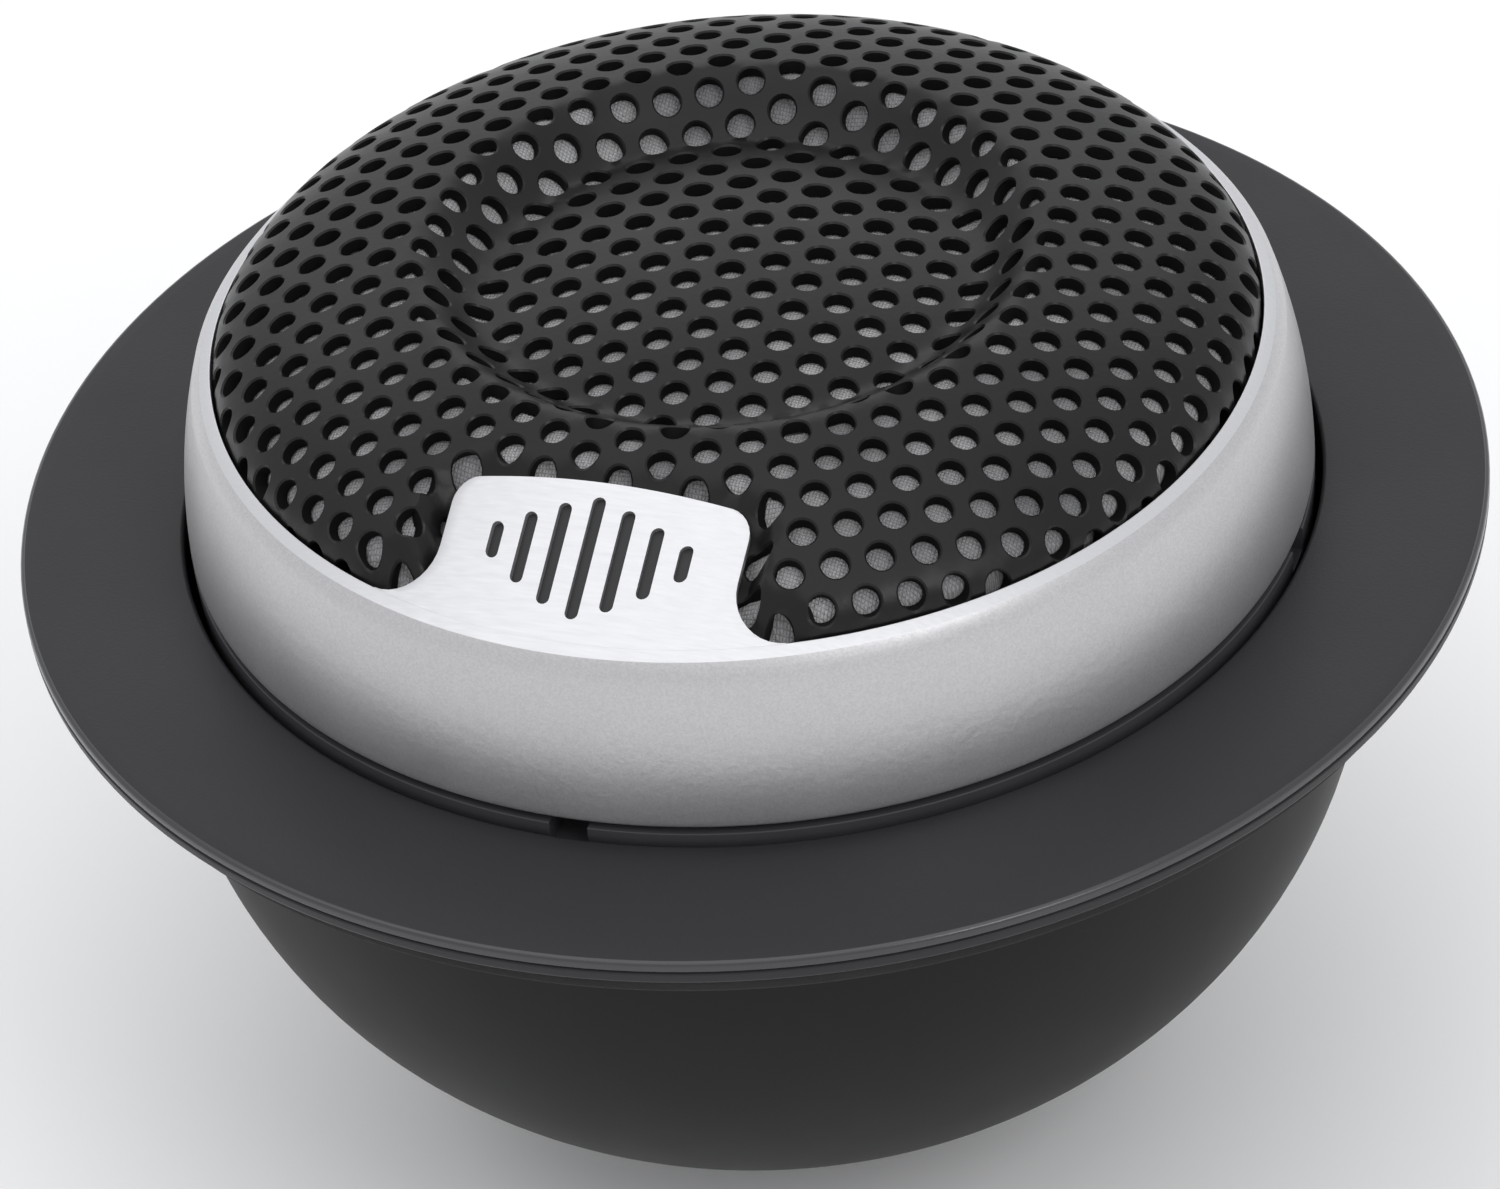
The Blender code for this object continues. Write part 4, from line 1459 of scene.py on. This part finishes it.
@dataclass
class InnerWorks:
    """CAD nodes that keep their shape and get a real finish."""

    nodes: dict[str, Thing]
    finishes: tuple[tuple[Finish, str], ...] = (
        (ZINC, "pressure_washer wave_spring lock_nut chassis_screw_1 chassis_screw_2 "
               "chassis_screw_3 top_plate pot_yoke"),
        (CUP_ABS, "grille_clamp"), (FLANGE_ABS, "driver_chassis"), (NYLON, "slip_ring"),
        (SILK, "surround dome"), (NICKEL, "magnet"), (FELT, "dome_damping_pad rear_absorber"),
        (PHENOLIC, "terminal_board"), (BRASS, "terminal_1 terminal_2"),
        (FILM, "voice_coil_former"),
        (COPPER, "tinsel_lead_1 tinsel_lead_2 voice_coil"))

    def dress(self) -> None:
        """Assign the finish of each carried-over node."""
        for finish, names in self.finishes:
            for name in names.split():
                for slot in self.nodes[name].material_slots:
                    slot.material = finish.make()
                LOG.info("%s: carried over in %s", name, finish.name)


# --- studio


@dataclass
class SoftBox:
    """A rectangular lamp aimed at the tweeter; bearing 0 is the camera's own."""

    bearing: float
    lift: float
    away: float
    size: tuple[float, float]
    watts: float


@dataclass
class Studio:
    """Pale floor, soft lamps and the camera.

    Angles bearing and lift are degrees; pan, tilt and roll are radians.
    """

    datum: Datum
    bearing: float = 21.2
    lift: float = 37.09
    away: float = 281.29
    focal: float = 159.53
    pan: float = 0.0019
    tilt: float = -0.0141
    roll: float = 0.1008
    aim_drop: float = 1.8
    lamps: tuple[SoftBox, ...] = (
        SoftBox(-60.0, 80.0, 520.0, (600.0, 600.0), 0.8),
        SoftBox(180.0, 36.0, 560.0, (620.0, 260.0), 0.3),
        SoftBox(34.0, 44.0, 520.0, (180.0, 180.0), 0.4),
    )
    sky: float = 0.85
    sensor: float = 36.0
    floor_half: float = 4.0
    floor_gap: float = 0.2

    def spot(self, bearing: float, lift: float, away: float) -> Vector:
        """Point at a bearing and elevation from the aim point on the axis.

        Args:
            bearing: degrees round the axis from the tab's side.
            lift: degrees over the horizontal.
            away: distance in millimetres.

        Returns:
            The point, in metres.
        """
        turn, rise = math.radians(bearing), math.radians(lift)
        flat = away * math.cos(rise)
        return self.aim() + Vector((flat * math.sin(turn), -flat * math.cos(turn),
                                    away * math.sin(rise))) * MM

    def aim(self) -> Vector:
        """Point on the axis that camera and lamps aim at."""
        return Vector((0.0, 0.0, (self.datum.ball - self.aim_drop) * MM))

    def camera(self) -> None:
        """Place the camera, turned from its aim by pan, then tilt, then roll."""
        data = bpy.data.cameras.new("camera")
        data.lens = self.focal
        data.sensor_width = self.sensor
        data.clip_start = 0.01
        data.clip_end = 20.0
        item = link("camera", data)
        place = self.spot(self.bearing, self.lift, self.away)
        forward = (self.aim() - place).normalized()
        right = forward.cross(Vector((0.0, 0.0, 1.0))).normalized()
        up = right.cross(forward)
        forward, right = (Matrix.Rotation(self.pan, 3, up) @ v for v in (forward, right))
        forward, up = (Matrix.Rotation(self.tilt, 3, right) @ v for v in (forward, up))
        right, up = (Matrix.Rotation(self.roll, 3, forward) @ v for v in (right, up))
        turn = Matrix((right, up, -forward)).transposed()
        item.matrix_world = Matrix.Translation(place) @ turn.to_4x4()
        bpy.context.scene.camera = item

    def light(self) -> None:
        """Add the soft boxes and an even sky."""
        for index, lamp in enumerate(self.lamps):
            data = bpy.data.lights.new(f"soft_box_{index + 1}", "AREA")
            data.shape = "RECTANGLE"
            data.size, data.size_y = (s * MM for s in lamp.size)
            data.energy = lamp.watts
            item = link(data.name, data)
            item.location = self.spot(self.bearing + lamp.bearing, lamp.lift, lamp.away)
            aim = (self.aim() - item.location).to_track_quat("-Z", "Y")
            item.rotation_euler = aim.to_euler()
        world = bpy.data.worlds.new("even_sky")
        world.use_nodes = True
        back = world.node_tree.nodes["Background"]
        back.inputs["Color"].default_value = linear("#F6F7F9")
        back.inputs["Strength"].default_value = self.sky
        bpy.context.scene.world = world

    def floor(self) -> None:
        """Lay a pale floor under the tweeter."""
        mesh = bpy.data.meshes.new("floor")
        half = self.floor_half
        mesh.from_pydata([(-half, -half, 0), (half, -half, 0), (half, half, 0),
                          (-half, half, 0)], [], [(0, 1, 2, 3)])
        item = link("floor", mesh, Finish("matt_white_paper", "floor", "#FAFAFA", "#F7F7F7", 0.9,
                                          grain=1.0, relief=0.001, patch=90.0))
        item.location.z = -self.floor_gap * MM

    def build(self) -> None:
        """Set the stage and the view's plain colour transform."""
        self.camera()
        self.light()
        self.floor()
        bpy.context.scene.view_settings.view_transform = "Standard"


def main() -> None:
    """Load the frame, build every piece round it and set the studio."""
    logging.basicConfig(level=logging.INFO, format="%(name)s: %(message)s")
    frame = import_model()
    datum = Datum.read(frame)
    Studio(datum).build()
    makers = [FlangeAndCup(datum), Bezel(datum), Grille(datum), Cloth(datum), BallShell(datum)]
    for maker in makers:
        for piece in maker.build():
            piece.install()
    InnerWorks(frame["nodes"]).dress()
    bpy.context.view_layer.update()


if __name__ == "__main__":
    main()
